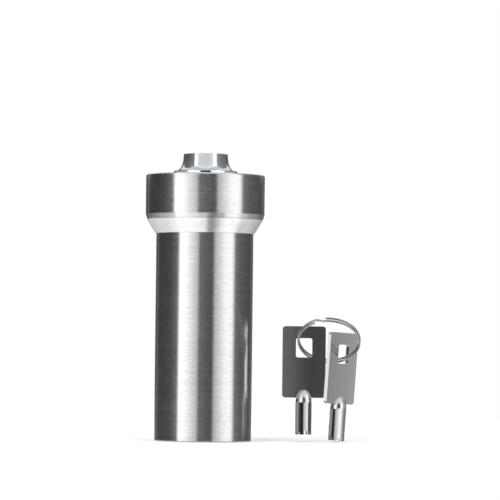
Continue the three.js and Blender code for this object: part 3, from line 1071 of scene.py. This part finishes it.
@dataclass
class Cap:
    """The steel cap with its liner and seal."""

    wall: float = 1.5 * MM
    top_thickness: float = 2.0 * MM
    top_edge: float = 0.6 * MM
    inner_edge: float = 0.5 * MM
    foot_taper_reach: float = 0.45 * MM
    foot_taper_height: float = 1.5 * MM
    foot_edge: float = 0.2 * MM
    seam_edge: float = 0.05 * MM
    edge_steps: int = 7
    housing_diameter: float = 9.6 * MM
    housing_flats: float = 8.6 * MM
    hole_gap: float = 0.15 * MM
    hole_facets: int = 64
    liner_edge: float = 0.2 * MM
    gasket_edge: float = 0.15 * MM
    facets: int = 180

    def shell(self) -> Piece:
        """Builds the cap with its rounded top edge and the lock's flatted hole.

        Returns:
            The cap.
        """
        low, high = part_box("lid_shell")
        outer, bore = high.x, high.x - self.wall
        ceiling = high.z - self.top_thickness
        outline = softened([
            (0, ceiling), (bore, ceiling, self.inner_edge), (bore, low.z, self.foot_edge),
            (outer - self.foot_taper_reach, low.z, self.seam_edge),
            (outer, low.z + self.foot_taper_height, self.foot_edge),
            (outer, high.z, self.top_edge), (0, high.z)], closed=False, steps=self.edge_steps)
        made = turned("cap_shell", outline, self.facets)
        radius = self.housing_diameter / 2 + self.hole_gap
        hole = rod("lock_hole", radius, ceiling - self.wall, high.z + self.wall, self.hole_facets)
        reach, half_flats = 2 * radius, self.housing_flats / 2 + self.hole_gap
        bottom, top = ceiling - 2 * self.wall, high.z + 2 * self.wall
        carve(hole, [block("flat", (-reach, near, bottom), (reach, far, top))
                     for near, far in ((-reach, -half_flats), (half_flats, reach))])
        return finish_edges(carve(made, [hole]))

    def build(self, workshop: Workshop) -> None:
        """Builds and dresses the cap's pieces.

        Args:
            workshop: dresses them.
        """
        workshop.dress(self.shell(), workshop.turned_steel, Body.CAP, "lid_shell")
        workshop.refine(Body.CAP, ("lid_liner", workshop.liner, self.liner_edge),
                        ("lid_gasket", workshop.seal, self.gasket_edge))


@dataclass
class Lock:
    """The tubular lock: bell, housing, clamping nut, driver pack, spindle and bar."""

    flare: tuple[Point2, ...] = (
        (9.55 * MM, 1.2 * MM), (8.9 * MM, 1.34 * MM), (8.3 * MM, 1.62 * MM), (7.86 * MM, 2.05 * MM),
        (7.5 * MM, 2.6 * MM), (7.24 * MM, 3.2 * MM), (7.05 * MM, 3.8 * MM), (6.92 * MM, 4.5 * MM),
        (6.84 * MM, 5.3 * MM), (6.8 * MM, 6.1 * MM))
    top_diameter: float = 13.6 * MM
    nose_diameter: float = 8.8 * MM
    head_diameter: float = 11.8 * MM
    head_height: float = 2.0 * MM
    flange_edge: float = 1.2 * MM
    flange_rounding: float = 0.15 * MM
    top_edge: float = 0.4 * MM
    nose_gap: float = 0.1 * MM
    flare_steps: int = 4
    facets: int = 160
    pins: Sequence[int] = range(1, 8)
    spring_wire: float = 0.1 * MM
    spring_turns: int = 7
    spring_steps: int = 14
    spring_sides: int = 8
    fine_edge: float = 0.06 * MM
    housing_edge: float = 0.08 * MM
    cam_nut_edge: float = 0.12 * MM
    bar_edge: float = 0.15 * MM
    nut_edge: float = 0.2 * MM

    def bell(self) -> Piece:
        """Builds the chrome bell: a thin foot flange, a hollow flare and a flat face.

        Returns:
            The bell.
        """
        low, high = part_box("lock_bezel")
        gap = self.nose_gap
        bore, counter_bore = self.nose_diameter / 2 + gap, self.head_diameter / 2 + gap
        step = low.z + self.head_height + gap
        flare = [(out, low.z + rise) for out, rise in smoothed(self.flare, self.flare_steps)]
        outline = softened([
            (counter_bore, low.z, gap), (high.x, low.z, gap),
            (high.x, low.z + self.flange_edge, self.flange_rounding), *flare,
            (self.top_diameter / 2, high.z, self.top_edge), (bore, high.z, self.top_edge / 2),
            (bore, step), (counter_bore, step)])
        return finish_edges(turned("lock_bell", outline, self.facets))

    def spring(self, number: int) -> Piece:
        """Winds one of the small springs behind the driver pins.

        Args:
            number: of the pin.

        Returns:
            The spring.
        """
        low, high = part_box(f"pin_spring_{number}")
        middle = (low + high) / 2
        radius = (high.x - low.x) / 2 - self.spring_wire / 2
        steps = self.spring_steps * self.spring_turns
        rise = high.z - low.z - self.spring_wire
        path = []
        for step in range(steps + 1):
            angle = 2 * math.pi * self.spring_turns * step / steps
            path.append(Vector((middle.x + radius * math.cos(angle), middle.y + radius * math.sin(angle),
                                low.z + self.spring_wire / 2 + rise * step / steps)))
        made = swept(f"pin_spring_{number}_coil", path, self.spring_wire / 2, self.spring_sides)
        return finish_edges(made)

    def build(self, workshop: Workshop) -> None:
        """Builds and dresses the lock's pieces.

        Args:
            workshop: dresses them.
        """
        workshop.dress(self.bell(), workshop.chrome, Body.CAP, "lock_bezel")
        workshop.refine(Body.CAP, ("lock_housing", workshop.chrome, self.housing_edge),
                        ("lock_washer", workshop.plain_steel, self.housing_edge),
                        ("lock_nut", workshop.brass, self.nut_edge))
        for number in self.pins:
            workshop.dress(self.spring(number), workshop.ring_wire, Body.CAP, f"pin_spring_{number}")
            workshop.dress_nodes(workshop.brass, f"driver_pin_{number}", f"key_pin_{number}")
        workshop.dress_nodes(workshop.brass, "driver_sleeve")
        workshop.dress_nodes(workshop.ground_steel, "sleeve_pin")
        workshop.refine(Body.SPINDLE, ("lock_spindle", workshop.brass, self.fine_edge),
                        ("cam_washer", workshop.plain_steel, self.fine_edge),
                        ("cam_bar", workshop.ground_steel, self.bar_edge),
                        ("cam_nut", workshop.brass, self.cam_nut_edge))


@dataclass
class Key:
    """One tubular key: a flat plate with a ring hole, held in the slot of a domed tube."""

    number: int
    tip: Vector
    turn: Matrix
    length: float = 33.3 * MM
    plate_width: float = 13.3 * MM
    plate_height: float = 22.0 * MM
    plate_thickness: float = 1.2 * MM
    plate_corner: float = 1.1 * MM
    plate_edge: float = 0.14 * MM
    corner_steps: int = 8
    hole_width: float = 5.0 * MM
    hole_height: float = 5.9 * MM
    hole_drop: float = 3.7 * MM
    hole_corner: float = 0.7 * MM
    tongue_width: float = 3.0 * MM
    tongue_length: float = 3.1 * MM
    tube_diameter: float = 5.0 * MM
    tube_wall: float = 0.55 * MM
    tube_straight: float = 10.2 * MM
    tube_edge: float = 0.08 * MM
    dome_height: float = 3.7 * MM
    dome_ledge: float = 0.22 * MM
    dome_steps: int = 14
    bore_depth: float = 6.5 * MM
    slot_gap: float = 0.05 * MM
    lug_reach: float = 0.5 * MM
    lug_width: float = 0.8 * MM
    lug_height: float = 1.0 * MM
    lug_rise: float = 3.6 * MM
    inner_lug_reach: float = 0.55 * MM
    inner_lug_width: float = 0.6 * MM
    inner_lug_height: float = 2.4 * MM
    pin_circle: float = 4.7 * MM
    notch_radius: float = 0.52 * MM
    notch_facets: int = 20
    cuts: tuple[float, ...] = (0.5 * MM, 1.1 * MM, 0.8 * MM, 1.4 * MM, 0.6 * MM, 1.25 * MM, 0.95 * MM)
    facets: int = 96

    @property
    def shoulder(self) -> float:
        """Height of the plate's lower edge above the tip."""
        return self.length - self.plate_height

    @property
    def radius(self) -> float:
        """Outer radius of the tube."""
        return self.tube_diameter / 2

    @property
    def bore(self) -> float:
        """Inner radius of the tube."""
        return self.radius - self.tube_wall

    def plate(self) -> Piece:
        """Builds the stamped plate with its square hole and its tongue.

        Returns:
            The plate, in the key's own frame.
        """
        half, tongue, side = self.plate_width / 2, self.tongue_width / 2, self.hole_width / 2
        foot = self.shoulder - self.tongue_length
        top = self.length - self.hole_drop
        bottom = top - self.hole_height
        outline = softened([
            (-tongue, foot, self.slot_gap), (tongue, foot, self.slot_gap), (tongue, self.shoulder),
            *((x, z, self.plate_corner) for x, z in (
                (half, self.shoulder), (half, self.length), (-half, self.length), (-half, self.shoulder))),
            (-tongue, self.shoulder)], steps=self.corner_steps)
        made = prism(f"key_{self.number}_plate", outline, -self.plate_thickness / 2, self.plate_thickness / 2)
        hole_outline = softened([(x, z, self.hole_corner) for x, z in (
            (-side, bottom), (side, bottom), (side, top), (-side, top))], steps=self.corner_steps)
        hole = prism("ring_hole", hole_outline, -self.plate_thickness, self.plate_thickness)
        return finish_edges(carve(made, [hole]), self.plate_edge)

    def barrel(self) -> Piece:
        """Builds the hollow tube with its dome, before anything is cut or joined to it.

        Returns:
            The plain tube, in the key's own frame.
        """
        edge = self.tube_edge
        dome_radius = self.radius - edge
        dome = []
        for step in range(1, self.dome_steps + 1):
            angle = math.pi / 2 * step / self.dome_steps
            out = 0 if step == self.dome_steps else dome_radius * math.cos(angle)
            dome.append((out, self.tube_straight + self.dome_height * math.sin(angle)))
        return turned(f"key_{self.number}_tube", [
            (0, self.bore_depth), (self.bore, self.bore_depth), (self.bore, edge), (self.bore + edge, 0),
            (self.radius - edge, 0), (self.radius, edge), (self.radius, self.tube_straight - self.dome_ledge),
            (dome_radius, self.tube_straight), *dome], self.facets)

    def lugs(self) -> list[Piece]:
        """Builds the outer and the inner lug, which guide the key in the lock.

        Returns:
            The two lugs.
        """
        outer = block("outer_lug", (-self.lug_width / 2, self.bore + self.tube_edge, self.lug_rise),
                      (self.lug_width / 2, self.radius + self.lug_reach, self.lug_rise + self.lug_height))
        half = self.inner_lug_width / 2
        inner = block("inner_lug", (-half, self.bore - self.inner_lug_reach, self.tube_edge),
                      (half, self.bore + self.tube_edge, self.inner_lug_height))
        return [outer, inner]

    def cutters(self) -> list[Piece]:
        """Builds what cuts the plate's slot, its tongue's pocket and the seven notches at the tip.

        Returns:
            The cutting pieces.
        """
        gap = self.slot_gap
        thick = self.plate_thickness / 2 + gap
        openings = (("plate_slot", self.tube_diameter, self.shoulder - gap),
                    ("tongue_pocket", self.tongue_width / 2 + gap, self.shoulder - self.tongue_length - gap))
        made = [block(name, (-half, -thick, bottom), (half, thick, self.length))
                for name, half, bottom in openings]
        for place, cut in enumerate(self.cuts):
            angle = 2 * math.pi * (place + 0.5) / len(self.cuts)
            notch = rod("cut", self.notch_radius, -cut, cut, self.notch_facets)
            middle = (self.pin_circle / 2 * math.cos(angle), self.pin_circle / 2 * math.sin(angle), 0)
            notch.data.transform(Matrix.Translation(middle))
            made.append(notch)
        return made

    def tube(self) -> Piece:
        """Builds the domed tube and marks the faces at its tip that are cut through the plating.

        Returns:
            The tube, in the key's own frame.
        """
        made = self.barrel()
        cutters = self.cutters()
        carve(made, self.lugs(), join=True)
        carve(made, cutters)
        finish_edges(made)
        mask = made.data.attributes.new(CUT_MASK, "FLOAT", "FACE")
        for face, value in zip(made.data.polygons, mask.data):
            inside = Vector(face.center[:2]).length < self.radius - self.tube_edge / 2
            value.value = 1.0 if inside and face.center.z < max(self.cuts) else 0.0
        return made

    def build(self, workshop: Workshop) -> None:
        """Builds the key's two pieces, moves them to where the key stands and dresses them.

        Args:
            workshop: dresses them.
        """
        stand = Matrix.Translation(self.tip) @ self.turn.to_4x4()
        for made, finish, part in ((self.plate(), workshop.key_plating, "bow"),
                                   (self.tube(), workshop.tube_plating, "barrel")):
            made.data.transform(stand)
            workshop.dress(made, finish, Body[f"KEY_{self.number}"], f"key_{self.number}_{part}")


@dataclass
class SplitRing:
    """The split ring: two turns of wire side by side, with a short crossing between them."""

    middle: Vector
    turn: Matrix
    radius: float = 9.355 * MM
    wire: float = 0.64 * MM
    pitch: float = 1.08 * MM
    crossing: float = 20.0
    crossing_place: float = 118.0
    steps: int = 260
    sides: int = 14

    def path(self) -> list[Vector]:
        """Works out the wire's centreline.

        Returns:
            Its points.
        """
        half = self.crossing / 2
        points = []
        for step in range(self.steps + 1):
            degrees = half + step / self.steps * (2 * FULL_TURN - self.crossing)
            share = min(max((degrees - FULL_TURN + half) / self.crossing, 0.0), 1.0)
            across = share * share * (3 - 2 * share)
            angle = math.radians(degrees + self.crossing_place)
            place = Vector((self.radius * math.cos(angle), self.pitch * (across - 0.5),
                            self.radius * math.sin(angle)))
            points.append(self.middle + self.turn @ place)
        return points

    def build(self, workshop: Workshop) -> None:
        """Builds and dresses the ring.

        Args:
            workshop: dresses it.
        """
        made = finish_edges(swept("split_ring_wire", self.path(), self.wire / 2, self.sides))
        workshop.dress(made, workshop.ring_wire, Body.KEY_RING, "split_ring")


# Studio


class MirrorLight(Shader):
    """Short calls for the glowing material of painted reflections: a piece that lights nothing and only
    mirroring surfaces see.
    """

    def __init__(self, name: str, least: float = 0.0, reach: float = 0.0) -> None:
        """Makes the material.

        Args:
            name: the material's name.
            least: shorter looks than this pass through.
            reach: longer looks than this pass through; none do if it is zero.
        """
        self.material = new_material(name)
        super().__init__(self.material.node_tree)
        self.tree.nodes.remove(self.tree.nodes["Principled BSDF"])
        glow = self.node("ShaderNodeEmission")
        self.colour = glow.inputs["Color"]
        shown = glow.outputs[0]
        if reach:
            length = self.node("ShaderNodeLightPath").outputs["Ray Length"]
            facing = self.node("ShaderNodeLayerWeight").outputs["Facing"]
            outside = self.math("MAXIMUM", self.math("GREATER_THAN", length, reach),
                                self.math("LESS_THAN", length, least))
            passing = self.math("MAXIMUM", outside, self.math("GREATER_THAN", facing, GRAZING))
            clear = self.node("ShaderNodeBsdfTransparent").outputs[0]
            shown = self.mixed_shaders(passing, shown, clear)
        self.feed(self.tree.nodes["Material Output"].inputs["Surface"], shown)

    def compass(self) -> tuple[Socket, Socket]:
        """Works out where a point lies.

        Returns:
            The angle from the front, as a share of a turn, and the height.
        """
        x, y, z = self.split(self.place())
        angle = self.math("ARCTAN2", x, self.math("MULTIPLY", y, -1.0))
        return self.between(angle, -math.pi, math.pi), z

    def round(self, turn: Socket, stops: Stops) -> Socket:
        """Makes a brightness that changes with the angle from the front.

        Args:
            turn: the angle as a share of a turn, from straight behind round by the left.
            stops: angles in degrees, negative to the left, each with its brightness.

        Returns:
            The colour, slightly bluish as daylight lamps give it.
        """
        made = self.node("ShaderNodeValToRGB")
        elements = made.color_ramp.elements
        elements.remove(elements[-1])
        for index, (degrees, light) in enumerate(stops):
            place = (degrees + FULL_TURN / 2) / FULL_TURN
            stop = elements[0] if index == 0 else elements.new(place)
            stop.position = place
            stop.color = (*(light * part for part in DAYLIGHT), 1)
        self.feed(made.inputs["Fac"], turn)
        return made.outputs["Color"]

    def cover(self, piece: Piece, light: object) -> None:
        """Gives a piece this material and hides it from all but mirrored looks.

        Args:
            piece: the wall or card.
            light: its colour.
        """
        self.feed(self.colour, light)
        piece.data.materials.append(self.material)
        for kind in ("camera", "diffuse", "transmission", "volume_scatter", "shadow"):
            setattr(piece, f"visible_{kind}", False)


@dataclass(frozen=True)
class Card:
    """A small curved glowing card near a piece, bright or dark, which only that piece mirrors: a painted
    reflection that lights nothing.
    """

    name: str
    middle: Vector
    radius: float
    span: tuple[float, float]
    bottom: float
    top: float
    light: Stops
    reach: float
    least: float = 0.0
    fan: float = 0.0
    haze: float = 0.0
    steps: int = 40

    def build(self) -> None:
        """Builds the card."""
        bm = bmesh.new()
        left, right = self.span
        angles = [math.radians(left + (right - left) * step / self.steps) for step in range(self.steps + 1)]
        lower, upper = ([bm.verts.new((self.radius * math.sin(a), -self.radius * math.cos(a), height))
                         for a in angles] for height in (self.bottom, self.top))
        for near, far in zip(zip(lower, upper), zip(lower[1:], upper[1:])):
            bm.faces.new((near[0], far[0], far[1], near[1]))
        made = object_from(self.name, bm)
        made.location = self.middle
        shader = MirrorLight(self.name, self.least, self.reach)
        turn, height = shader.compass()
        share = shader.between(height, self.bottom, self.top)
        if self.fan:
            curved = shader.math("MULTIPLY", shader.math("MULTIPLY", share, share), self.fan)
            spread = shader.math("ADD", 1.0, curved)
            fanned = shader.math("DIVIDE", shader.math("SUBTRACT", turn, FRONT), spread)
            turn = shader.math("ADD", fanned, FRONT)
        light = shader.round(turn, self.light)
        if self.haze:
            light = shader.mixed(shader.math("MULTIPLY", share, self.haze), light, WHITE)
        shader.cover(made, light)


@dataclass(frozen=True)
class Surround:
    """Painted reflections of soft lamps and dark flags, on a tall round wall that glows, lights nothing and
    only mirroring surfaces see.

    Angles run from the front, negative to the left. Level looks at the wall show two painted lamps with a
    dark gap between them, high looks a broader painted light, and low looks a painted pale sheet, darker in
    places, in place of the floor under the object.
    """

    radius: float = 900 * MM
    bottom: float = -1700 * MM
    top: float = 1560 * MM
    level: float = 45 * MM
    lift_from: float = 300 * MM
    lift_to: float = 520 * MM
    facets: int = 144
    steep_from: float = 0.38
    steep_to: float = 0.66
    dim_below: float = 55 * MM
    full_above: float = 98 * MM
    dim_share: float = 0.89
    walls: Stops = (
        (-180, 0.16), (-150, 0.07), (-147, 0.08), (-145, 0.2), (-141, 0.2), (-139, 0.06), (-110, 0.048),
        (-85, 0.062), (-68, 0.14), (-62.5, 0.26), (-60, 1.7), (-46, 1.6), (-14, 0.66), (-11.5, 0.15),
        (-3, 0.14), (2, 0.12), (8, 0.1), (22, 0.06), (24.5, 0.6), (52, 1.4), (68, 1.5), (74, 1.1),
        (78, 0.2), (96, 0.12), (135, 0.08), (155, 0.16), (180, 0.18))
    high: Stops = (
        (-180, 0.88), (-150, 0.84), (-118, 0.7), (-80, 0.7), (-62, 1.05), (-44, 1.05), (0, 0.8),
        (44, 1.05), (62, 1.05), (80, 0.7), (118, 0.7), (150, 0.84), (180, 0.88))
    sheet: Stops = (
        (-180, 0.75), (-159, 0.79), (-144, 0.81), (-124, 0.94), (-115, 1.02), (-99, 1.1), (-91, 1.14),
        (-84, 1.21), (-76, 1.36), (-70, 1.45), (-40, 1.45), (-28, 1.38), (-12, 1.27), (-3, 1.21),
        (3, 1.15), (9, 0.62), (14, 0.38), (27, 0.38), (36, 0.64), (45, 1.03), (54, 1.3), (63, 1.45),
        (90, 1.42), (95, 1.3), (101, 0.97), (110, 0.86), (120, 0.87), (137, 0.7), (150, 0.52), (180, 0.6))

    def build(self) -> None:
        """Builds the wall."""
        outline = [(0, self.bottom), (self.radius, self.bottom), (self.radius, self.top), (0, self.top)]
        made = turned("painted_reflection_surround", outline, self.facets, closed=False)
        shader = MirrorLight("painted_reflection_surround")
        turn, height = shader.compass()
        lifted = shader.between(height, self.lift_from, self.lift_to, smooth=True)
        # painted shade: the wall's painted lamps and flags are dimmed at low heights
        dimmed = shader.between(height, self.dim_below, self.full_above, to_low=self.dim_share, smooth=True)
        wall = shader.mixed(lifted, shader.scaled(shader.round(turn, self.walls), dimmed),
                            shader.round(turn, self.high))
        # low looks get the painted sheet, which stands in for the mirrored floor and its shade
        fall = shader.between(height, self.level, self.level - self.radius)
        falling = shader.math("DIVIDE", fall, shader.math("SINE", shader.math("MULTIPLY", turn, math.pi)))
        low = shader.between(falling, self.steep_from, self.steep_to, smooth=True)
        shader.cover(made, shader.mixed(low, wall, shader.round(turn, self.sheet)))


@dataclass(frozen=True)
class MirrorCards:
    """The cards near the lock, the keys and the foot: glowing painted reflections and painted shade, which
    light nothing and only mirroring pieces see. Angles run as those of the surround do.
    """

    lock_radius: float = 40 * MM
    lock_least: float = 29.5 * MM
    lock_span: tuple[float, float] = (-125, 125)
    bell_top: float = 46 * MM
    bell_drop: float = 2 * MM
    bell_reach: float = 120 * MM
    bell_fan: float = 0.34
    bell_haze: float = 0.14
    bell_light: Stops = (
        (-180, 0.1), (-125, 0.12), (-90, 0.1), (-60, 0.22), (-54, 0.3), (-52, 1.6), (-38, 1.5), (-36, 0.86),
        (-18, 0.78), (12, 0.74), (34, 0.86), (35, 1.5), (52, 1.6), (55, 0.36), (66, 0.26), (90, 0.17),
        (125, 0.15))
    flange_rise: float = 1 * MM
    flange_reach: float = 60 * MM
    flange_light: Stops = (
        (-180, 0.4), (-80, 0.42), (-61, 0.5), (-59, 1.5), (-17, 1.3), (-15.5, 0.03), (17, 0.03), (18.5, 1.3),
        (64, 1.5), (66, 0.5), (85, 0.42), (180, 0.4))
    tube_radius: float = 4.6 * MM
    tube_height: float = 9.9 * MM
    tube_reach: float = 9.2 * MM
    tube_span: tuple[float, float] = (-112, 128)
    tube_1_light: Stops = (
        (-180, 0.1), (-66, 0.4), (-51, 0.14), (-38, 0.06), (-26, 0.03), (-15, 0.03), (-4, 0.06), (3, 0.6),
        (16, 0.8), (26, 0.95), (40, 1.3), (45, 1.2), (50, 0.2), (65, 0.12), (92, 0.1), (128, 0.3))
    tube_2_light: Stops = (
        (-180, 0.1), (-75, 0.4), (-64, 0.3), (-58, 0.03), (-31, 0.03), (-22, 0.5), (0, 0.85), (21, 1.3),
        (36, 1.4), (44, 0.95), (58, 0.48), (73, 0.25), (94, 0.3), (128, 0.3))
    plate_drop: float = 6 * MM
    plate_rise: float = 34 * MM
    plate_spare: float = 8 * MM
    front_radius: float = 60 * MM
    front_least: float = 58.4 * MM
    front_span: tuple[float, float] = (-9, 10)
    front_light: Stops = (
        (-180, 0.22), (-5.5, 0.2), (-3.9, 0.19), (-1.7, 0.15), (0.5, 0.105), (2.8, 0.085), (5.5, 0.09),
        (180, 0.1))
    turned_radius: float = 33 * MM
    turned_span: tuple[float, float] = (76, 118)
    turned_light: Stops = (
        (-180, 0.4), (92, 0.41), (97, 0.44), (103, 0.5), (108, 0.58), (180, 0.6))
    edge_radius: float = 50 * MM
    edge_gap: float = 2 * MM
    edge_aside: float = 0.1 * MM
    edge_reach: float = 6 * MM
    edge_bottom: float = 11.2 * MM
    edge_span: tuple[float, float] = (-91.7, -88.3)
    edge_light: Stops = ((-180, 1.3), (180, 1.3))
    foot_width: float = 2.4 * MM
    foot_height: float = 0.04 * MM
    foot_facets: int = 144
    # painted shade: the grey that the foot mirrors in place of the floor's shadow
    foot_shade: Colour = (0.45, 0.45, 0.45)

    def foot(self) -> None:
        """Lays a narrow grey ring round the container's foot, seen only in reflections: painted shade that
        stands in for the floor's contact shadow mirrored in the foot, and draws the fine dark line there.
        """
        low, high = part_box("body_tube")
        radius = (high.x - low.x) / 2
        inner, outer = radius - self.foot_width / 2, radius + self.foot_width
        # a glowing ring that lights nothing, painted shade in the foot's reflection
        outline = [(inner, self.foot_height), (outer, self.foot_height)]
        made = turned("foot_painted_shade", outline, self.foot_facets, closed=False)
        MirrorLight("foot_painted_shade").cover(made, (*self.foot_shade, 1))

    def lock(self) -> None:
        """Sets the painted reflections, bright and dark, that the bell and its flange mirror."""
        low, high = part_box("lock_bezel")
        axis = Vector((0, 0, 0))
        seam = high.z - self.bell_drop
        # painted reflections, bright and dark, on the bell and its flange
        Card("bell_painted_reflection", axis, self.lock_radius, self.lock_span, seam, high.z + self.bell_top,
             self.bell_light, self.bell_reach, self.lock_least, self.bell_fan, self.bell_haze).build()
        Card("flange_painted_reflection", axis, self.lock_radius, self.lock_span, low.z + self.flange_rise, seam,
             self.flange_light, self.flange_reach, self.lock_least).build()

    def keys(self) -> None:
        """Sets the painted reflections that the keys' tubes and their plates mirror, and the painted
        highlight along the turned plate's edge.
        """
        stands = [Vector((tip.x, tip.y, 0)) for tip in (KEY_1_TIP, KEY_2_TIP)]
        for number, stand, tip, light in ((1, stands[0], KEY_1_TIP, self.tube_1_light),
                                          (2, stands[1], KEY_2_TIP, self.tube_2_light)):
            # painted reflections on each key's tube
            Card(f"key_{number}_tube_painted_reflection", stand, self.tube_radius, self.tube_span, tip.z,
                 tip.z + self.tube_height, light, self.tube_reach).build()
        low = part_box("key_2_bow")[0]
        bottom, top = low.z - self.plate_drop, low.z + self.plate_rise
        Card("front_bow_painted_reflection", stands[0], self.front_radius, self.front_span, bottom, top, self.front_light,
             self.front_radius + self.plate_spare, self.front_least).build()
        Card("turned_bow_painted_reflection", stands[1], self.turned_radius, self.turned_span, bottom, top,
             self.turned_light, self.turned_radius + self.plate_spare).build()
        hinge = Vector((low.x - self.edge_gap + self.edge_radius, low.y + self.edge_aside, 0))
        # painted highlight: a bright strip that the turned plate's edge mirrors
        Card("turned_bow_edge_painted_highlight", hinge, self.edge_radius, self.edge_span,
             KEY_2_TIP.z + self.edge_bottom, KEY_2_TIP.z + self.plate_rise, self.edge_light,
             self.edge_reach).build()

    def build(self) -> None:
        """Sets all the cards."""
        self.foot()
        self.lock()
        self.keys()


@dataclass(frozen=True)
class Lamp:
    """A soft round lamp that lights what isn't metal and throws the soft shadow."""

    name: str
    place: tuple[float, float, float]
    size: float
    power: float
    aim: tuple[float, float, float] = (0.01, 0, 0.04)

    def build(self) -> None:
        """Hangs the lamp."""
        data = bpy.data.lights.new(self.name, "AREA")
        data.shape = "DISK"
        data.size = self.size
        data.energy = self.power
        made = linked(self.name, data)
        made.location = self.place
        made.rotation_mode = "QUATERNION"
        made.rotation_quaternion = (Vector(self.aim) - Vector(self.place)).to_track_quat("-Z", "Y")
        # metal mirrors the surround's painted lamps instead of this lamp
        made.visible_glossy = False


@dataclass
class Studio:
    """Pale floor, soft lamps, the painted reflections that the metal mirrors, and the camera."""

    camera_distance: float = 950 * MM
    camera_height: float = 30 * MM
    camera_aside: float = 13.9 * MM
    aim_aside: float = 13.9 * MM
    aim_height: float = 58.7 * MM
    roll: float = 0.65
    view_width: float = 153.6 * MM
    sensor: float = 36.0
    nearest: float = 9.5 * MM
    furthest: float = 12.0
    floor_radius: float = 6.0
    floor_facets: int = 96
    floor_colour: Colour = (0.86, 0.86, 0.86)
    floor_roughness: float = 0.9
    white_from: float = 120 * MM
    white_to: float = 420 * MM
    least_white: float = 0.1
    daylight: float = 0.6
    lamps: tuple[Lamp, ...] = (
        Lamp("key_lamp", (-0.55, -0.7, 0.9), size=0.7, power=7.0),
        Lamp("fill_lamp", (0.7, -0.6, 0.6), size=0.8, power=4.0),
        Lamp("top_lamp", (0.0, 0.25, 1.1), size=0.9, power=5.0))

    def camera(self) -> None:
        """Places the camera in front, a little below the cap."""
        data = bpy.data.cameras.new("camera")
        made = linked("camera", data)
        place = Vector((self.camera_aside, -self.camera_distance, self.camera_height))
        aim = Vector((self.aim_aside, 0, self.aim_height))
        looking = (aim - place).to_track_quat("-Z", "Y").to_matrix()
        made.matrix_world = Matrix.Translation(place) @ (looking @ turn_of(("Z", self.roll))).to_4x4()
        data.sensor_width = self.sensor
        data.lens = self.sensor * (aim - place).length / self.view_width
        data.clip_start = self.nearest
        data.clip_end = self.furthest
        bpy.context.scene.camera = made

    def floor(self) -> None:
        """Lays a pale floor that keeps the shadow near the object and is plain white further off."""
        bm = bmesh.new()
        bmesh.ops.create_circle(bm, cap_ends=True, radius=self.floor_radius, segments=self.floor_facets)
        made = object_from("studio_floor", bm)
        material = new_material("pale_floor")
        nodes = material.node_tree.nodes
        shader = Shader(material.node_tree)
        surface = nodes["Principled BSDF"]
        surface.inputs["Base Color"].default_value = (*self.floor_colour, 1)
        surface.inputs["Roughness"].default_value = self.floor_roughness
        glow = shader.node("ShaderNodeEmission").outputs[0]
        away = shader.length(shader.place())
        fade = shader.between(away, self.white_from, self.white_to, to_low=self.least_white, smooth=True)
        white = shader.math("MULTIPLY", self.seen(shader), fade)
        shader.feed(nodes["Material Output"].inputs["Surface"],
                    shader.mixed_shaders(white, surface.outputs[0], glow))
        made.data.materials.append(material)
        # mirrors see the surround's painted sheet instead of the floor
        made.visible_glossy = False

    @staticmethod
    def seen(shader: Shader) -> Socket:
        """Tells the rays that show a background: the camera's, and those of metal and glass.

        Args:
            shader: helper of the tree.

        Returns:
            1 for these rays, 0 for others.
        """
        path = shader.node("ShaderNodeLightPath").outputs
        mirrored = shader.math("MAXIMUM", path["Is Glossy Ray"], path["Is Transmission Ray"])
        return shader.math("MAXIMUM", path["Is Camera Ray"], mirrored)

    def world(self) -> None:
        """Sets a plain pale surrounding, white where it is seen or mirrored."""
        world = bpy.data.worlds.new("studio")
        bpy.context.scene.world = world
        world.use_nodes = True
        shader = Shader(world.node_tree)
        back = world.node_tree.nodes["Background"]
        strength = shader.between(self.seen(shader), 0.0, 1.0, to_low=self.daylight)
        shader.feed(back.inputs["Strength"], strength)
        back.inputs["Color"].default_value = (*WHITE, 1)

    def build(self) -> None:
        """Sets up the whole studio."""
        self.camera()
        self.floor()
        self.world()
        for part in (*self.lamps, Surround(), MirrorCards()):
            part.build()
        bpy.context.scene.view_settings.view_transform = "Standard"


def main() -> None:
    """Builds the studio and every sub-assembly in order."""
    logging.basicConfig(level=logging.INFO, format="%(name)s: %(message)s")
    Studio().build()
    workshop = Workshop()
    ring_turn = turn_of(("Z", RING_YAW), ("Y", RING_ROLL), ("X", RING_TILT))
    key_2_turn = turn_of(("Y", KEY_2_LEAN), ("Z", KEY_2_YAW))
    for part in (Container(), Cap(), Lock(), SplitRing(middle=RING_MIDDLE, turn=ring_turn),
                 Key(number=1, tip=KEY_1_TIP, turn=Matrix.Identity(3)),
                 Key(number=2, tip=KEY_2_TIP, turn=key_2_turn)):
        part.build(workshop)


if __name__ == "__main__":
    main()
